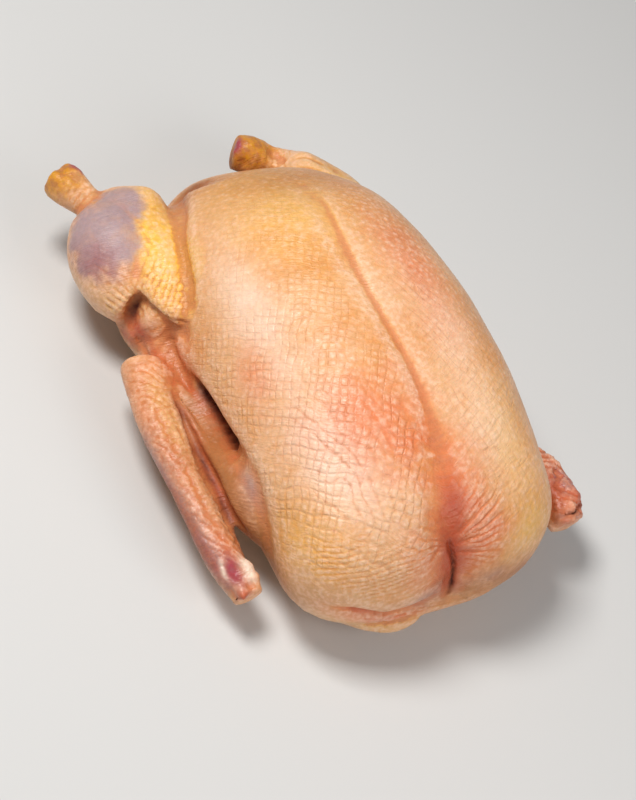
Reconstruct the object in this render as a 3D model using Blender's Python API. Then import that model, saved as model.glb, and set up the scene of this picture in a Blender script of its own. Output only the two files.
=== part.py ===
"""A whole raw goose, plucked and drawn, lying on its back with its wing tips and feet cut off.

Metres. +Z is up through the breast, +Y runs from the neck to the tail, and -X is the bird's own left side.
The origin is the centre of the flat patch on the back that the bird rests on.
The bird is one piece, so the trunk, legs, wings, tail and neck skin are lofted one by one and fused into
one skin, which is then pressed and raised along its folds.
"""

import math
from dataclasses import dataclass

import bmesh
import bpy
import numpy as np
from mathutils import Vector, noise

# ---------------------------------------------------------------- driving dimensions

TRUNK_LENGTH = 0.3432
TRUNK_WIDTH = 0.1981
TRUNK_DEPTH = 0.1544
NECK_END_Y = -0.1497
KEEL_LEAN = 0.0042
SQUARENESS = 0.90

DRUMSTICK_RADIUS = 0.0312
SHANK_RADIUS = 0.0135
FOREARM_RADIUS = 0.014

VOXEL = 0.0028
SKIN_TRIANGLES = 11000
TRUNK_RINGS, TRUNK_RING_POINTS = 72, 56
LIMB_RINGS, LIMB_RING_POINTS = 28, 24
SOFTEN_FACTOR, SOFTEN_ROUNDS, FOLD_SOFTEN_ROUNDS = 0.5, 6, 3
FOLD_STEPS = 32
FOLD_ENDS, FOLD_FADE = 0.04, 0.5
UNEVENNESS, UNEVEN_PER_METRE = 0.0013, 24.0
SKIN_COLOUR = (0.80, 0.50, 0.30, 1.0)
SKIN_ROUGHNESS = 0.45


@dataclass
class Station:
    """A cross-section of the trunk: its place and shape as shares of the length, half width and depth."""

    along: float
    width: float
    back: float
    widest: float
    keel: float


TRUNK = [
    Station(0.000, 0.42, 0.240, 0.33, 0.43),
    Station(0.034, 0.75, 0.110, 0.37, 0.63),
    Station(0.093, 0.94, 0.030, 0.41, 0.78),
    Station(0.185, 0.98, -0.010, 0.44, 0.89),
    Station(0.317, 1.00, -0.030, 0.46, 0.97),
    Station(0.450, 0.985, -0.035, 0.46, 1.00),
    Station(0.582, 0.95, -0.035, 0.46, 0.985),
    Station(0.714, 0.885, -0.030, 0.45, 0.92),
    Station(0.820, 0.80, -0.005, 0.42, 0.80),
    Station(0.900, 0.67, 0.040, 0.38, 0.66),
    Station(0.952, 0.50, 0.100, 0.34, 0.52),
    Station(1.000, 0.24, 0.200, 0.30, 0.36),
]


@dataclass
class Joint:
    """A point on a limb's centre line, with its half width level and its half thickness upright."""

    x: float
    y: float
    z: float
    across: float
    thick: float


def leg(knee, ankle, hock_end, plumpness):
    """Joints from the hock's end down the drumstick to the knee, between three points."""
    knee, ankle, hock_end = Vector(knee), Vector(ankle), Vector(hock_end)
    profile = [
        (hock_end, 0.00, ankle, 0.94 * SHANK_RADIUS),
        (hock_end, 0.35, ankle, 1.02 * SHANK_RADIUS),
        (hock_end, 0.90, ankle, 0.80 * SHANK_RADIUS),
        (ankle, 0.12, knee, 0.72 * plumpness * DRUMSTICK_RADIUS),
        (ankle, 0.42, knee, 1.03 * plumpness * DRUMSTICK_RADIUS),
        (ankle, 0.75, knee, 0.97 * plumpness * DRUMSTICK_RADIUS),
        (ankle, 1.00, knee, 0.60 * plumpness * DRUMSTICK_RADIUS),
    ]
    return [Joint(*start.lerp(end, share), radius, 0.96 * radius) for start, share, end, radius in profile]


LEFT_LEG = leg((-0.0995, 0.1004, 0.0521), (-0.1032, 0.1795, 0.0577), (-0.119, 0.2102, 0.0577), 1.0)
RIGHT_LEG = leg((0.0837, 0.1209, 0.0502), (0.0502, 0.1972, 0.0521), (0.0195, 0.2139, 0.0521), 0.86)
LEFT_THIGH = [
    Joint(-0.093, 0.078, 0.041, 0.0186, 0.0223),
    Joint(-0.082, 0.098, 0.041, 0.0316, 0.0335),
    Joint(-0.065, 0.130, 0.043, 0.0353, 0.0335),
    Joint(-0.051, 0.163, 0.045, 0.0223, 0.0223),
]
RIGHT_THIGH = [Joint(-j.x, j.y, j.z, j.across, j.thick) for j in LEFT_THIGH]
LEFT_WEB = [
    Joint(-0.089, 0.072, 0.069, 0.0065, 0.0074),
    Joint(-0.084, 0.098, 0.070, 0.0223, 0.0186),
    Joint(-0.085, 0.135, 0.069, 0.0288, 0.0195),
    Joint(-0.085, 0.168, 0.062, 0.0260, 0.0177),
    Joint(-0.082, 0.186, 0.056, 0.0149, 0.0102),
]
LEFT_FLANK = [
    Joint(-0.086, 0.098, 0.035, 0.0167, 0.0186),
    Joint(-0.091, 0.065, 0.033, 0.0149, 0.0167),
    Joint(-0.086, 0.033, 0.034, 0.0121, 0.0130),
    Joint(-0.072, 0.000, 0.039, 0.0074, 0.0074),
]
RIGHT_FLANK = [Joint(-j.x, j.y, j.z, j.across, j.thick) for j in LEFT_FLANK]
RIGHT_WEB = [
    Joint(0.078, 0.078, 0.065, 0.0056, 0.0074),
    Joint(0.072, 0.102, 0.066, 0.0167, 0.0158),
    Joint(0.069, 0.140, 0.065, 0.0205, 0.0177),
    Joint(0.065, 0.173, 0.059, 0.0186, 0.0158),
]
LEFT_FOREARM = [
    Joint(-0.112, 0.068, 0.041, 1.00 * FOREARM_RADIUS, 0.0102),
    Joint(-0.114, 0.056, 0.042, 1.14 * FOREARM_RADIUS, 0.0121),
    Joint(-0.117, 0.014, 0.041, 1.12 * FOREARM_RADIUS, 0.0116),
    Joint(-0.116, -0.037, 0.038, 1.04 * FOREARM_RADIUS, 0.0112),
    Joint(-0.114, -0.079, 0.035, 0.94 * FOREARM_RADIUS, 0.0102),
    Joint(-0.111, -0.108, 0.034, 0.82 * FOREARM_RADIUS, 0.0093),
]
RIGHT_FOREARM = [
    Joint(0.105, 0.052, 0.041, 0.98 * FOREARM_RADIUS, 0.0102),
    Joint(0.107, 0.039, 0.042, 1.12 * FOREARM_RADIUS, 0.0121),
    Joint(0.110, 0.000, 0.043, 1.05 * FOREARM_RADIUS, 0.0116),
    Joint(0.113, -0.046, 0.044, 0.95 * FOREARM_RADIUS, 0.0112),
    Joint(0.124, -0.082, 0.045, 1.25 * FOREARM_RADIUS, 0.0130),
    Joint(0.127, -0.115, 0.044, 1.05 * FOREARM_RADIUS, 0.0126),
]
LEFT_UPPER_ARM = [
    Joint(-0.056, -0.084, 0.056, 0.0279, 0.0279),
    Joint(-0.081, -0.056, 0.052, 0.0223, 0.0251),
    Joint(-0.097, -0.011, 0.044, 0.0107, 0.0126),
    Joint(-0.100, 0.023, 0.042, 0.0102, 0.0116),
    Joint(-0.108, 0.056, 0.041, 0.0126, 0.0112),
]
RIGHT_UPPER_ARM = [
    Joint(0.056, -0.093, 0.056, 0.0279, 0.0279),
    Joint(0.082, -0.065, 0.052, 0.0223, 0.0242),
    Joint(0.093, -0.019, 0.046, 0.0116, 0.0130),
    Joint(0.098, 0.019, 0.044, 0.0112, 0.0116),
    Joint(0.104, 0.042, 0.042, 0.0126, 0.0112),
]
TAIL = [
    Joint(0.000, 0.140, 0.034, 0.0418, 0.0260),
    Joint(-0.004, 0.182, 0.024, 0.0223, 0.0130),
    Joint(-0.006, 0.204, 0.019, 0.0084, 0.0056),
]
NECK_FLAP = [
    Joint(-0.059, -0.102, 0.028, 0.0130, 0.0149),
    Joint(-0.043, -0.121, 0.025, 0.0167, 0.0121),
    Joint(-0.019, -0.132, 0.025, 0.0186, 0.0121),
    Joint(-0.002, -0.134, 0.032, 0.0149, 0.0121),
]


@dataclass
class Fold:
    """A line pressed into the skin to a depth, with soft shoulders of a width; a negative depth raises it."""

    width: float
    depth: float
    path: list


FOLDS = [
    # the keel between the two breast muscles, and the muscles beside it
    Fold(0.0074, 0.0037, [
        (0.005, 0.126, 0.129), (-0.006, 0.057, 0.151), (-0.006, 0.000, 0.153), (-0.002, -0.051, 0.148),
        (-0.002, -0.093, 0.134),
    ]),
    Fold(0.0279, -0.0028, [
        (-0.042, 0.056, 0.135), (-0.042, -0.037, 0.132), (-0.039, -0.088, 0.112),
    ]),
    Fold(0.0279, -0.0028, [
        (0.042, 0.065, 0.135), (0.042, -0.028, 0.132), (0.042, -0.088, 0.112),
    ]),
    # the cleft where the keel ends at the neck, and the slit at its foot
    Fold(0.0158, 0.0074, [
        (-0.002, -0.089, 0.137), (-0.006, -0.117, 0.120), (-0.004, -0.136, 0.100), (0.004, -0.148, 0.072),
        (0.009, -0.150, 0.050),
    ]),
    Fold(0.0033, 0.0056, [
        (-0.004, -0.132, 0.100), (0.001, -0.140, 0.086), (0.004, -0.145, 0.072), (0.007, -0.147, 0.054),
    ]),
    # the neck skin tucked under the breast
    Fold(0.0047, 0.0051, [
        (-0.074, -0.132, 0.056), (-0.061, -0.140, 0.054), (-0.043, -0.145, 0.051), (-0.019, -0.149, 0.050),
        (-0.004, -0.149, 0.054),
    ]),
    Fold(0.0037, 0.0023, [
        (-0.056, -0.132, 0.035), (-0.028, -0.145, 0.035), (-0.007, -0.149, 0.041),
    ]),
    # the left leg: crease against the trunk, the wrinkled edge of its web, and the hole under it
    Fold(0.0056, 0.0065, [
        (-0.052, 0.169, 0.074), (-0.062, 0.147, 0.088), (-0.074, 0.117, 0.092), (-0.082, 0.093, 0.091),
        (-0.086, 0.078, 0.087),
    ]),
    Fold(0.0056, -0.0033, [
        (-0.107, 0.104, 0.074), (-0.100, 0.094, 0.074), (-0.095, 0.084, 0.076), (-0.090, 0.077, 0.080),
    ]),
    Fold(0.0065, 0.0065, [
        (-0.108, 0.097, 0.065), (-0.101, 0.087, 0.061), (-0.095, 0.077, 0.061), (-0.090, 0.065, 0.069),
    ]),
    Fold(0.0047, 0.0084, [
        (-0.109, 0.096, 0.050), (-0.108, 0.098, 0.059), (-0.106, 0.101, 0.067),
    ]),
    Fold(0.0093, 0.0019, [
        (-0.107, 0.108, 0.074), (-0.100, 0.119, 0.084), (-0.091, 0.136, 0.086),
    ]),
    Fold(0.0056, 0.0047, [
        (-0.056, 0.169, 0.071), (-0.043, 0.174, 0.072), (-0.032, 0.166, 0.087),
    ]),
    # the left wing: hollow behind the upper arm, groove between the two arm bones, crease at the shoulder
    Fold(0.0084, 0.0158, [
        (-0.100, 0.041, 0.054), (-0.096, 0.019, 0.058), (-0.095, 0.000, 0.061), (-0.095, -0.017, 0.065),
        (-0.096, -0.028, 0.070),
    ]),
    Fold(0.0037, 0.0074, [
        (-0.103, 0.028, 0.052), (-0.105, 0.000, 0.051), (-0.106, -0.021, 0.050), (-0.105, -0.039, 0.049),
        (-0.104, -0.058, 0.046), (-0.100, -0.084, 0.042),
    ]),
    Fold(0.0074, 0.0028, [
        (-0.097, -0.027, 0.074), (-0.095, -0.051, 0.078), (-0.095, -0.074, 0.065), (-0.091, -0.093, 0.046),
    ]),
    # the right leg and wing, tucked closer to the trunk
    Fold(0.0056, 0.0056, [
        (0.058, 0.169, 0.074), (0.069, 0.147, 0.086), (0.080, 0.117, 0.087), (0.086, 0.087, 0.084),
    ]),
    Fold(0.0084, 0.013, [
        (0.100, 0.034, 0.054), (0.098, 0.009, 0.058), (0.097, -0.011, 0.061), (0.097, -0.032, 0.067),
    ]),
    Fold(0.0037, 0.0056, [
        (0.104, 0.015, 0.054), (0.104, -0.019, 0.054), (0.108, -0.046, 0.056), (0.112, -0.071, 0.058),
        (0.114, -0.093, 0.056), (0.112, -0.116, 0.046),
    ]),
    Fold(0.0033, 0.0037, [
        (0.119, -0.115, 0.056), (0.130, -0.115, 0.056), (0.141, -0.110, 0.048),
    ]),
    # the closed vent under the tail
    Fold(0.0047, 0.0047, [
        (-0.015, 0.191, 0.052), (0.000, 0.193, 0.054), (0.015, 0.191, 0.052),
    ]),
]


# ---------------------------------------------------------------- curves through named values


def smooth_between(values, share):
    """A Catmull-Rom reading of evenly numbered values; share runs from 0 to 1."""
    place = share * (len(values) - 1)
    first = min(int(place), len(values) - 2)
    t = place - first
    before, a, b, after = (values[max(0, min(len(values) - 1, first + k))] for k in (-1, 0, 1, 2))
    bend = 2 * before - 5 * a + 4 * b - after
    return 0.5 * (2 * a + (b - before) * t + bend * t**2 + (3 * a - before - 3 * b + after) * t**3)


# ---------------------------------------------------------------- lofts


def loft(name, rings):
    """A closed skin over rings of points, with a flat face over each end."""
    shape = bmesh.new()
    made = [[shape.verts.new(point) for point in ring] for ring in rings]
    for ring, after in zip(made, made[1:]):
        for k in range(len(ring)):
            nxt = (k + 1) % len(ring)
            shape.faces.new((ring[k], ring[nxt], after[nxt], after[k]))
    for ring in (made[0], made[-1]):
        shape.faces.new(ring)
    bmesh.ops.recalc_face_normals(shape, faces=shape.faces)
    mesh = bpy.data.meshes.new(name)
    shape.to_mesh(mesh)
    shape.free()
    obj = bpy.data.objects.new(name, mesh)
    bpy.context.scene.collection.objects.link(obj)
    return obj


def trunk_ring(share):
    """One ring of the trunk, a little squarer than an ellipse."""
    width, back, widest, keel, along = (
        smooth_between([getattr(station, part) for station in TRUNK], share)
        for part in ("width", "back", "widest", "keel", "along")
    )
    y = NECK_END_Y + along * TRUNK_LENGTH
    ring = []
    for k in range(TRUNK_RING_POINTS):
        angle = 2 * math.pi * k / TRUNK_RING_POINTS
        c, s = math.cos(angle), math.sin(angle)
        rise = keel - widest if s > 0 else widest - back
        z = TRUNK_DEPTH * (widest + rise * math.copysign(abs(s) ** SQUARENESS, s))
        x = width * TRUNK_WIDTH / 2 * math.copysign(abs(c) ** SQUARENESS, c) + KEEL_LEAN * z / TRUNK_DEPTH
        ring.append(Vector((x, y, z)))
    return ring


def limb(name, joints):
    """A limb through its joints; its width lies level and square to its centre line."""
    x, y, z, across, thick = zip(*((j.x, j.y, j.z, j.across, j.thick) for j in joints))

    def centre(share):
        return Vector([smooth_between(values, min(max(share, 0), 1)) for values in (x, y, z)])

    rings = []
    for n in range(LIMB_RINGS + 1):
        share = n / LIMB_RINGS
        along = (centre(share + 0.02) - centre(share - 0.02)).normalized()
        level = along.cross(Vector((0, 0, 1))).normalized()
        upright = level.cross(along)
        half_width, half_thickness = smooth_between(across, share), smooth_between(thick, share)
        angles = [2 * math.pi * k / LIMB_RING_POINTS for k in range(LIMB_RING_POINTS)]
        rings.append([
            centre(share) + level * half_width * math.cos(a) + upright * half_thickness * math.sin(a)
            for a in angles
        ])
    return loft(name, rings)


# ---------------------------------------------------------------- folds


def smooth_path(points):
    """Closely spaced points along a curve through a fold's points."""
    shares = [n / FOLD_STEPS for n in range(FOLD_STEPS + 1)]
    return np.array([[smooth_between(axis, share) for axis in zip(*points)] for share in shares])


def along_path(places, path):
    """For each place, its distance from the path and its share of the way along it."""
    best = np.full(len(places), np.inf)
    share = np.zeros(len(places))
    for n, (start, end) in enumerate(zip(path, path[1:])):
        step = end - start
        t = np.clip((places - start) @ step / (step @ step), 0, 1)
        gap = np.linalg.norm(places - start - t[:, None] * step, axis=1)
        share = np.where(gap < best, (n + t) / FOLD_STEPS, share)
        best = np.minimum(gap, best)
    return best, share


def press(places, normals, fold):
    """The places moved along their normals to make a fold, which runs out at both ends of its path."""
    gap, share = along_path(places, smooth_path(fold.path))
    fade = np.sin(np.pi * np.clip(share, FOLD_ENDS, 1 - FOLD_ENDS)) ** FOLD_FADE
    strength = fold.depth * fade * np.exp(-((gap / fold.width) ** 2))
    return places - normals * strength[:, None]


def sculpt(mesh):
    """The folds pressed into the skin one after the other, and its gentle unevenness."""
    count = len(mesh.vertices)
    for fold in FOLDS:
        places, normals = np.empty(count * 3), np.empty(count * 3)
        mesh.vertices.foreach_get("co", places)
        mesh.vertex_normals.foreach_get("vector", normals)
        places = press(places.reshape(-1, 3), normals.reshape(-1, 3), fold)
        mesh.vertices.foreach_set("co", places.ravel())
        mesh.update()
    for vertex in mesh.vertices:
        vertex.co += vertex.normal * UNEVENNESS * noise.noise(vertex.co * UNEVEN_PER_METRE)
    mesh.update()


# ---------------------------------------------------------------- the bird


def baked(obj, name):
    """The object's mesh with its modifiers applied, as a new mesh."""
    graph = bpy.context.evaluated_depsgraph_get()
    mesh = bpy.data.meshes.new_from_object(obj.evaluated_get(graph))
    mesh.name = name
    return mesh


def fuse(pieces, name):
    """One skin round all the pieces, from a voxel remesh."""
    goose = pieces[0]
    bpy.ops.object.select_all(action="DESELECT")
    for piece in pieces:
        piece.select_set(True)
    bpy.context.view_layer.objects.active = goose
    bpy.ops.object.join()
    goose.name = name
    remesh = goose.modifiers.new("one skin", "REMESH")
    remesh.mode = "VOXEL"
    remesh.voxel_size = VOXEL
    smooth = goose.modifiers.new("soften", "SMOOTH")
    smooth.factor, smooth.iterations = SOFTEN_FACTOR, SOFTEN_ROUNDS
    skin = baked(goose, name)
    goose.modifiers.clear()
    goose.data = skin
    return goose


def thin_out(goose):
    """The folds softened, and fewer triangles, most of them kept where the skin bends."""
    before = sum(len(face.vertices) - 2 for face in goose.data.polygons)
    smooth = goose.modifiers.new("soften", "SMOOTH")
    smooth.factor, smooth.iterations = SOFTEN_FACTOR, FOLD_SOFTEN_ROUNDS
    thin = goose.modifiers.new("thin out", "DECIMATE")
    thin.ratio = SKIN_TRIANGLES / before
    skin = baked(goose, goose.name)
    goose.modifiers.clear()
    goose.data = skin


def flatten_back(mesh):
    """The back cut off level at the ground and closed with a flat face."""
    skin = bmesh.new()
    skin.from_mesh(mesh)
    everything = skin.verts[:] + skin.edges[:] + skin.faces[:]
    bmesh.ops.bisect_plane(skin, geom=everything, plane_co=(0, 0, 0), plane_no=(0, 0, 1), clear_inner=True)
    rim = [edge for edge in skin.edges if edge.is_boundary]
    bmesh.ops.edgeloop_fill(skin, edges=rim)
    bmesh.ops.triangulate(skin, faces=skin.faces)
    bmesh.ops.recalc_face_normals(skin, faces=skin.faces)
    skin.to_mesh(mesh)
    skin.free()


def skin_material():
    material = bpy.data.materials.new("raw_skin")
    material.use_nodes = True
    surface = material.node_tree.nodes["Principled BSDF"]
    surface.inputs["Base Color"].default_value = SKIN_COLOUR
    surface.inputs["Roughness"].default_value = SKIN_ROUGHNESS
    return material


def build():
    """The whole bird, as one object."""
    for old in list(bpy.data.objects):
        bpy.data.objects.remove(old)
    limbs = dict(
        left_leg=LEFT_LEG, right_leg=RIGHT_LEG, left_thigh=LEFT_THIGH, right_thigh=RIGHT_THIGH,
        left_web=LEFT_WEB, right_web=RIGHT_WEB, left_flank=LEFT_FLANK, right_flank=RIGHT_FLANK,
        left_forearm=LEFT_FOREARM, right_forearm=RIGHT_FOREARM,
        left_upper_arm=LEFT_UPPER_ARM, right_upper_arm=RIGHT_UPPER_ARM, tail=TAIL, neck_flap=NECK_FLAP,
    )
    trunk = loft("trunk", [trunk_ring(n / TRUNK_RINGS) for n in range(TRUNK_RINGS + 1)])
    goose = fuse([trunk] + [limb(name, joints) for name, joints in limbs.items()], "goose")
    sculpt(goose.data)
    thin_out(goose)
    flatten_back(goose.data)
    goose.data.materials.clear()
    goose.data.materials.append(skin_material())
    return goose


build()
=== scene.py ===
"""A whole raw goose on a pale floor, dressed over the part's frame.

Metres. +Z is up through the breast, +Y runs from the neck to the tail, and -X is the bird's own left side.
The bird's parts are lofted, fused into one skin and pressed along their folds. The skin then gets its rows
of pillow-like cells from a Geometry Nodes tree, and its colours from masks painted on its points; some of
these masks, and the hollows and creases found in the skin, paint shade and highlights into that colour.
"""

import logging
import math
from dataclasses import dataclass, field
from enum import Enum
from typing import Any, Sequence

import bmesh
import bpy
import numpy as np
from mathutils import Matrix, Vector, noise


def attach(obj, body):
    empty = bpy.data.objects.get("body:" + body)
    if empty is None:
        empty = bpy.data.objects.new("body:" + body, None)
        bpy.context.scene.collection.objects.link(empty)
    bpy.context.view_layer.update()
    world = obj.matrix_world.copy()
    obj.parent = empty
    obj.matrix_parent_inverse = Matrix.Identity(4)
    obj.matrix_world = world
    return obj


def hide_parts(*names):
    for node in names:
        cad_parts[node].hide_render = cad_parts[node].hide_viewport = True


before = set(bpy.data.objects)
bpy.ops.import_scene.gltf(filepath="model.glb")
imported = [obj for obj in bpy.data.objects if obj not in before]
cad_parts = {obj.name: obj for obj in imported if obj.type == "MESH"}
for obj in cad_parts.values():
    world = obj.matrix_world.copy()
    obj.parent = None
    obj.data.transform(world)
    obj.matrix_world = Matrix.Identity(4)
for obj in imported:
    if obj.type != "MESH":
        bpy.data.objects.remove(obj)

log = logging.getLogger("goose")

Point = tuple[float, float, float]
Colour = tuple[float, float, float]
Span = tuple[float, float]
Rings = list[list[Vector]]

NODE = "goose"
TRACT = "tract"
CREASE = "crease"
HOLLOW = "hollow"
PEBBLES_PER_METRE = 235.0
PEBBLE_RAGGEDNESS = 0.85


class Mask(Enum):
    """The painted masks, by the names of their attributes; all but pebble name a colour of the skin too.
    The deep shade mask is painted shade, the shade mask mostly so, and the pale mask holds a painted
    highlight as well.
    """

    FAT = "fat"
    BLUSH = "blush"
    BRUISE = "bruise"
    MAGENTA = "magenta"
    RAW = "raw"
    DARK = "dark"
    GOLD = "gold"
    CUT = "cut"
    BONE = "bone"
    PALE = "pale"
    PEBBLE = "pebble"
    SHADE = "shade"


# ---------------------------------------------------------------- shader and geometry node maths


class Shade:
    """A socket that takes part in Python expressions, each of which adds its Math node."""

    def __init__(self, bench: "Bench", socket: bpy.types.NodeSocket) -> None:
        """Keep the socket and the bench that its nodes go on."""
        self.bench = bench
        self.socket = socket

    def maths(self, operation: str, *others: "float | Shade") -> "Shade":
        """A Math node on this value and others.

        Args:
            operation: The Math node's operation.
            others: The values of its other sockets, in order.

        Returns:
            The node's result.
        """
        return self.bench.maths(operation, self, *others)

    def __add__(self, other: "float | Shade") -> "Shade":
        """Sum."""
        return self.maths("ADD", other)

    def __radd__(self, other: float) -> "Shade":
        """Sum with a number on the left."""
        return self.bench.maths("ADD", other, self)

    def __sub__(self, other: "float | Shade") -> "Shade":
        """Difference."""
        return self.maths("SUBTRACT", other)

    def __rsub__(self, other: float) -> "Shade":
        """Difference from a number on the left."""
        return self.bench.maths("SUBTRACT", other, self)

    def __mul__(self, other: "float | Shade") -> "Shade":
        """Product."""
        return self.maths("MULTIPLY", other)

    def __rmul__(self, other: float) -> "Shade":
        """Product with a number on the left."""
        return self.bench.maths("MULTIPLY", other, self)

    def ridge(self) -> "Shade":
        """One midway between whole numbers, falling to nothing at each whole number."""
        return 1 - abs(self.maths("FRACT") * 2 - 1)

    def __abs__(self) -> "Shade":
        """Size without sign."""
        return self.maths("ABSOLUTE")

    def clamp(self) -> "Shade":
        """The value kept between 0 and 1."""
        return self.maths("MAXIMUM", 0.0).maths("MINIMUM", 1.0)

    def between(self, low: float, high: float) -> "Shade":
        """A smooth step.

        Args:
            low: The value at which the step begins; it may be above high, for a step down.
            high: The value at which it ends.

        Returns:
            The step's height, from 0 to 1.
        """
        t = ((self - low) * (1 / (high - low))).clamp()
        return t * t * (3 - 2 * t)


class Bench:
    """Adds nodes to one tree."""

    maths_type = "ShaderNodeMath"

    def __init__(self, tree: bpy.types.NodeTree) -> None:
        """Keep the tree."""
        self.tree = tree

    def node(self, kind: str, settings: dict[str, Any], **sockets: Any) -> bpy.types.Node:
        """Any node.

        Args:
            kind: The node's type.
            settings: The node's own properties, set first.
            sockets: Values or links for its input sockets, by name with _ for a space, or s0, s1 by number.

        Returns:
            The node.
        """
        made = self.tree.nodes.new(kind)
        for name, value in settings.items():
            setattr(made, name, value)
        for name, value in sockets.items():
            numbered = name[0] == "s" and name[1:].isdigit()
            socket = made.inputs[int(name[1:]) if numbered else name.replace("_", " ")]
            if isinstance(value, Shade):
                self.tree.links.new(value.socket, socket)
            else:
                socket.default_value = value
        return made

    def maths(self, operation: str, *values: "float | Shade") -> Shade:
        """A Math node.

        Args:
            operation: Its operation.
            values: Its sockets' values, in order.

        Returns:
            Its result.
        """
        sockets = {f"s{n}": value for n, value in enumerate(values)}
        return Shade(self, self.node(self.maths_type, {"operation": operation}, **sockets).outputs[0])

    def out(self, kind: str, settings: dict[str, Any], output: str | int = 0, **sockets: Any) -> Shade:
        """One output of any node, with node's arguments."""
        return Shade(self, self.node(kind, settings, **sockets).outputs[output])


class ShaderBench(Bench):
    """Adds shader nodes to one material."""

    below_socket = 6
    above_socket = 7
    mixed_socket = 2

    def mix(
        self, factor: float | Shade, below: Colour | Shade, above: Colour | Shade, blend: str = "MIX"
    ) -> Shade:
        """A colour laid over another.

        Args:
            factor: How much of the upper colour shows.
            below: The lower colour.
            above: The upper colour.
            blend: How they are blended.

        Returns:
            The mixed colour.
        """
        mixer = self.node("ShaderNodeMix", {"data_type": "RGBA", "blend_type": blend}, s0=factor)
        for number, colour in ((self.below_socket, below), (self.above_socket, above)):
            if isinstance(colour, Shade):
                self.tree.links.new(colour.socket, mixer.inputs[number])
            else:
                mixer.inputs[number].default_value = (*colour, 1.0)
        return Shade(self, mixer.outputs[self.mixed_socket])

    def lay(self, below: Shade, amount: Shade, above: Colour) -> Shade:
        """A colour laid over another where the amount is above 0, and all of it where that is 1 or more."""
        return self.mix(amount.clamp(), below, above)

    def stored(self, name: str) -> Shade:
        """A number stored on the skin's points, by its attribute's name."""
        return self.out("ShaderNodeAttribute", {"attribute_name": name}, "Fac")

    def mask(self, mask: Mask) -> Shade:
        """A painted mask."""
        return self.stored(mask.value)

    def cloud(self, place: Shade, scale: float, detail: float = 2.0) -> Shade:
        """Soft noise over a place.

        Args:
            place: The coordinates.
            scale: Lumps to a metre.
            detail: How many finer layers it has.

        Returns:
            The noise, mostly between 0.3 and 0.7.
        """
        return self.out("ShaderNodeTexNoise", {}, 0, Vector=place, Scale=scale, Detail=detail)


# ---------------------------------------------------------------- curves and lofts


def smooth_between(values: Sequence[float], share: float) -> float:
    """A Catmull-Rom reading of evenly numbered values.

    Args:
        values: The values.
        share: Where to read, from 0 at the first to 1 at the last.

    Returns:
        The value there.
    """
    place = share * (len(values) - 1)
    first = min(int(place), len(values) - 2)
    t = place - first
    before, a, b, after = (values[max(0, min(len(values) - 1, first + k))] for k in (-1, 0, 1, 2))
    bend = 2 * before - 5 * a + 4 * b - after
    return 0.5 * (2 * a + (b - before) * t + bend * t**2 + (3 * a - before - 3 * b + after) * t**3)


@dataclass
class Station:
    """A cross-section of the trunk: its place and shape as shares of the length, half width and depth."""

    along: float
    width: float
    back: float
    widest: float
    keel: float


@dataclass
class Joint:
    """A point on a limb's centre line, with its half width level and its half thickness upright."""

    x: float
    y: float
    z: float
    across: float
    thick: float


@dataclass
class Limb:
    """A limb lofted through its joints; its width lies level and square to its centre line."""

    joints: list[Joint]
    rings: int = 40
    points: int = 32
    aim: float = 0.02

    def centre(self, share: float) -> Vector:
        """A point of the centre line.

        Args:
            share: How far along it, from 0 to 1.

        Returns:
            The point.
        """
        held = min(max(share, 0), 1)
        return Vector([smooth_between([getattr(j, axis) for j in self.joints], held) for axis in "xyz"])

    def loft(self) -> Rings:
        """The limb as rings of points.

        Returns:
            The rings, from its first joint to its last.
        """
        rings = []
        for n in range(self.rings + 1):
            share = n / self.rings
            along = (self.centre(share + self.aim) - self.centre(share - self.aim)).normalized()
            level = along.cross(Vector((0, 0, 1))).normalized()
            upright = level.cross(along)
            level *= smooth_between([j.across for j in self.joints], share)
            upright *= smooth_between([j.thick for j in self.joints], share)
            angles = [math.tau * k / self.points for k in range(self.points)]
            rings.append([self.centre(share) + level * math.cos(a) + upright * math.sin(a) for a in angles])
        return rings


def loft_object(name: str, rings: Rings) -> bpy.types.Object:
    """A closed skin over rings of points, with a flat face over each end.

    Args:
        name: The object's name.
        rings: The rings, all with as many points.

    Returns:
        The object.
    """
    shape = bmesh.new()
    made = [[shape.verts.new(point) for point in ring] for ring in rings]
    for ring, after in zip(made, made[1:]):
        for k in range(len(ring)):
            nxt = (k + 1) % len(ring)
            shape.faces.new((ring[k], ring[nxt], after[nxt], after[k]))
    for ring in (made[0], made[-1]):
        shape.faces.new(ring)
    bmesh.ops.recalc_face_normals(shape, faces=shape.faces)
    mesh = bpy.data.meshes.new(name)
    shape.to_mesh(mesh)
    shape.free()
    obj = bpy.data.objects.new(name, mesh)
    bpy.context.scene.collection.objects.link(obj)
    return obj


# ---------------------------------------------------------------- sub-assemblies


class Side(Enum):
    """The bird's two sides, as the sign of X."""

    LEFT = -1.0
    RIGHT = 1.0


def side_lofts(side: Side, parts: dict[str, Limb]) -> dict[str, Rings]:
    """The parts' rings, by the side's name and their own."""
    return {f"{side.name.lower()}_{name}": part.loft() for name, part in parts.items()}


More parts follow.
